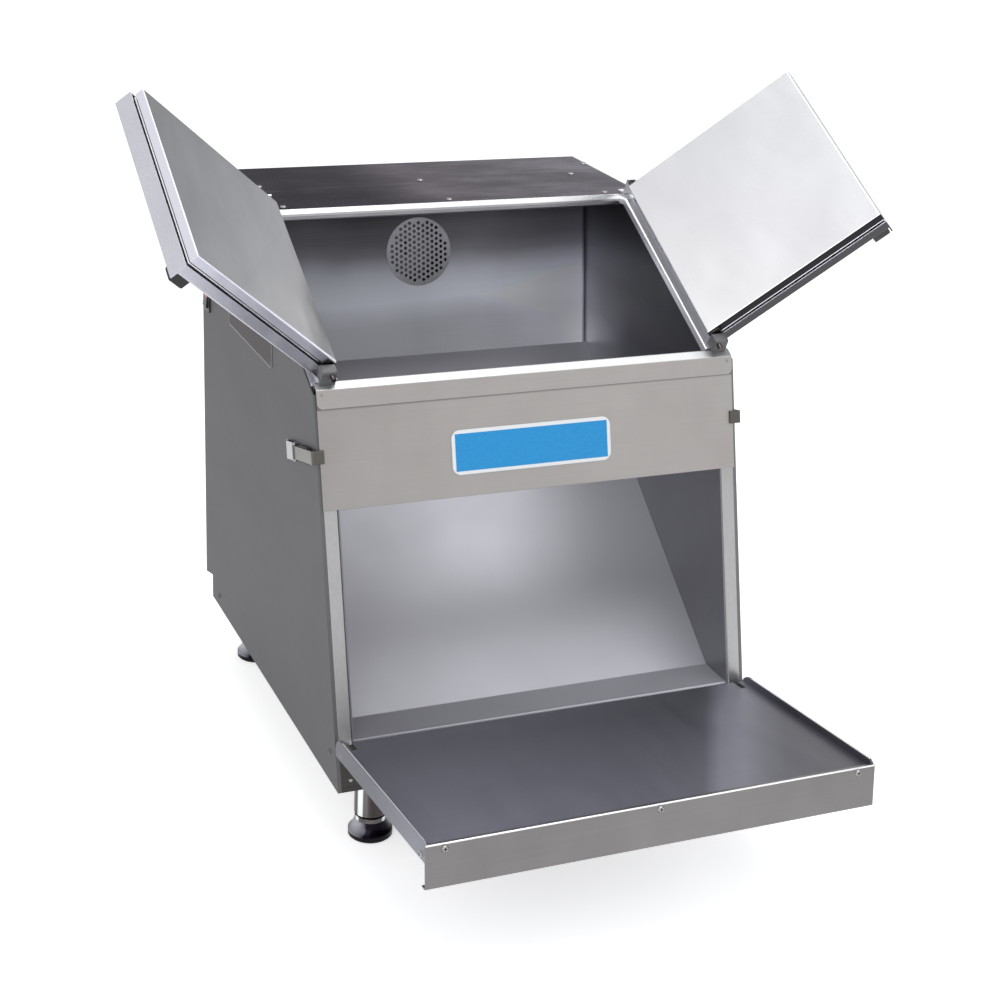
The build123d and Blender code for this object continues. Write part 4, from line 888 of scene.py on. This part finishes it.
def cross_recesses(name, body, middle):
    """Cross recess in the head of every screw of a CAD node, dark as painted shade.

    The middle is a point inside the body, which every head faces away from.
    """
    heads = joined(name)
    crosses = bmesh.new()
    for island in islands(heads):
        centre = sum((vert.co for vert in island), Vector()) / len(island)
        faces = {face for vert in island for face in vert.link_faces}
        largest = max(faces, key=lambda face: face.calc_area())
        out = largest.normal.copy()
        if out.dot(centre - middle) < 0:
            out.negate()
        top = max((vert.co - centre).dot(out) for vert in island)
        spokes = [vert.co - centre for vert in island]
        radius = max((spoke - out * spoke.dot(out)).length for spoke in spokes)
        cross = bmesh.ops.create_grid(
            crosses, x_segments=3, y_segments=3, size=radius * cross_share,
        )
        grid_faces = {face for vert in cross["verts"] for face in vert.link_faces}
        reach = radius * arm_share
        corners = [face for face in grid_faces if face.calc_center_median().length > reach]
        arms = [face for face in grid_faces if face not in corners]
        bmesh.ops.delete(crosses, geom=corners, context="FACES")
        raised = bmesh.ops.extrude_face_region(crosses, geom=arms)
        lifted = [item for item in raised["geom"] if isinstance(item, bmesh.types.BMVert)]
        bmesh.ops.translate(crosses, verts=lifted, vec=(0, 0, cross_height))
        moved = set(lifted) | {vert for face in arms if face.is_valid for vert in face.verts}
        place = Matrix.Translation(centre + out * (top - cross_sink))
        bmesh.ops.transform(crosses, matrix=place @ facing_along(out), verts=list(moved))
    heads.free()
    fitted(crosses, f"{name}_recesses", recess_shade_black, body)


housing_middle = Vector((0, 0, 0.3))
tray_middle = Vector((0, -0.38, 0.14))
cross_recesses("hood_screws", "housing", housing_middle)
cross_recesses("body_screws", "housing", housing_middle)
cross_recesses("tray_screws", "tray", tray_middle)

front_lean = math.radians(14)       # the front leans back from upright
front_normal = Vector((0, -math.cos(front_lean), math.sin(front_lean)))


def front_studs(name, low, back, up, inset, radius, height):
    """A small domed head near each end of a piece of the leaning front.

    They are placed from the low front left corner of that piece's box.
    """
    shape = bmesh.new()
    for side in (-1, 1):
        stud = bmesh.ops.create_cone(
            shape, cap_ends=True, segments=18, radius1=radius, radius2=radius * 0.72,
            depth=height,
        )
        corner = low + Vector((0, back, up))
        place = Matrix.Translation((side * (abs(corner.x) - inset), corner.y, corner.z))
        bmesh.ops.transform(shape, matrix=place @ facing_along(front_normal), verts=stud["verts"])
    softened(shape, radius * 0.15)
    fitted(shape, name, bolt_steel, "housing")


front_studs(
    "rail_studs", rail_low, back=0.0030, up=0.0141, inset=0.0055, radius=0.0015, height=0.0010,
)
front_studs(
    "kick_plate_bolts", kick_low, back=0.0030, up=0.0120, inset=0.0100, radius=0.0026,
    height=0.0020,
)


# ------------------------------------------------------------------ light and camera


def seen_rays(tree):
    """1 for what the camera sees directly, in gloss or through glass, else 0."""
    path = tree.nodes.new("ShaderNodeLightPath")
    level = path.outputs["Is Camera Ray"]
    for kind in ("Is Glossy Ray", "Is Transmission Ray"):
        either = tree.nodes.new("ShaderNodeMath")
        either.operation = "MAXIMUM"
        tree.links.new(level, either.inputs[0])
        tree.links.new(path.outputs[kind], either.inputs[1])
        level = either.outputs[0]
    return level


def world_light():
    """White behind the object, and a plain soft light on it."""
    world = bpy.data.worlds.new("studio")
    bpy.context.scene.world = world
    world.use_nodes = True
    tree = world.node_tree
    tree.nodes.clear()
    white = tree.nodes.new("ShaderNodeBackground")
    white.inputs["Color"].default_value = (1, 1, 1, 1)
    white.inputs["Strength"].default_value = 1.0
    soft = tree.nodes.new("ShaderNodeBackground")
    soft.inputs["Color"].default_value = (0.95, 0.97, 1.0, 1)
    soft.inputs["Strength"].default_value = 0.55
    mix = tree.nodes.new("ShaderNodeMixShader")
    tree.links.new(seen_rays(tree), mix.inputs["Fac"])
    tree.links.new(soft.outputs[0], mix.inputs[1])
    tree.links.new(white.outputs[0], mix.inputs[2])
    output = tree.nodes.new("ShaderNodeOutputWorld")
    tree.links.new(mix.outputs[0], output.inputs["Surface"])


def softbox(name, place, target, size, power):
    """A soft rectangular lamp at a place, aimed at a target."""
    lamp = bpy.data.lights.new(name, "AREA")
    lamp.shape = "RECTANGLE"
    lamp.size, lamp.size_y = size
    lamp.energy = power
    holder = bpy.data.objects.new(name, lamp)
    bpy.context.scene.collection.objects.link(holder)
    holder.location = place
    towards = Vector(target) - Vector(place)
    holder.rotation_mode = "QUATERNION"
    holder.rotation_quaternion = towards.to_track_quat("-Z", "Y")


world_light()
body_middle = (0, 0, 0.35)
softbox("overhead_softbox", (0.2, -0.2, 2.2), (0, 0, 0.4), size=(1.8, 1.8), power=22)
softbox("front_left_softbox", (-1.7, -2.0, 1.5), body_middle, size=(1.4, 1.4), power=18)
softbox("right_softbox", (2.0, -1.0, 1.3), body_middle, size=(1.2, 1.2), power=8)


def floor():
    """Plain pale floor, white to the camera away from the object's soft shadow."""
    shape = bmesh.new()
    bmesh.ops.create_grid(shape, x_segments=1, y_segments=1, size=14.0)
    mesh = bpy.data.meshes.new("floor")
    shape.to_mesh(mesh)
    shape.free()
    piece = bpy.data.objects.new("floor", mesh)
    bpy.context.scene.collection.objects.link(piece)
    finish = Finish("pale_floor", 0.0, 0.9)
    finish.shader.inputs["Base Color"].default_value = (0.93, 0.93, 0.93, 1)
    finish.shader.inputs["Specular IOR Level"].default_value = 0.0
    finish.shader.inputs["Emission Color"].default_value = (1, 1, 1, 1)
    lift = finish.sums("MULTIPLY", seen_rays(finish.tree), 0.6)
    finish.link(lift, finish.shader.inputs["Emission Strength"])
    mesh.materials.append(finish.material)


floor()

# The camera stands where the photograph was taken from, and these are its own directions.
camera_right = Vector((0.9230, -0.3822, 0.0449))
camera_up = Vector((0.1025, 0.3566, 0.9286))
camera_back = -Vector((0.3710, 0.8525, -0.3683))

camera_data = bpy.data.cameras.new("camera")
camera = bpy.data.objects.new("camera", camera_data)
bpy.context.scene.collection.objects.link(camera)
camera_data.lens = 68.04
camera_data.sensor_width = 36.0
camera_data.clip_end = 60.0
camera_turn = Matrix((camera_right, camera_up, camera_back)).transposed()
camera.rotation_mode = "QUATERNION"
camera.rotation_quaternion = camera_turn.to_quaternion()
camera.location = (-0.7639, -1.8526, 1.0697)
bpy.context.scene.camera = camera
bpy.context.scene.view_settings.view_transform = "Standard"

bpy.context.view_layer.update()
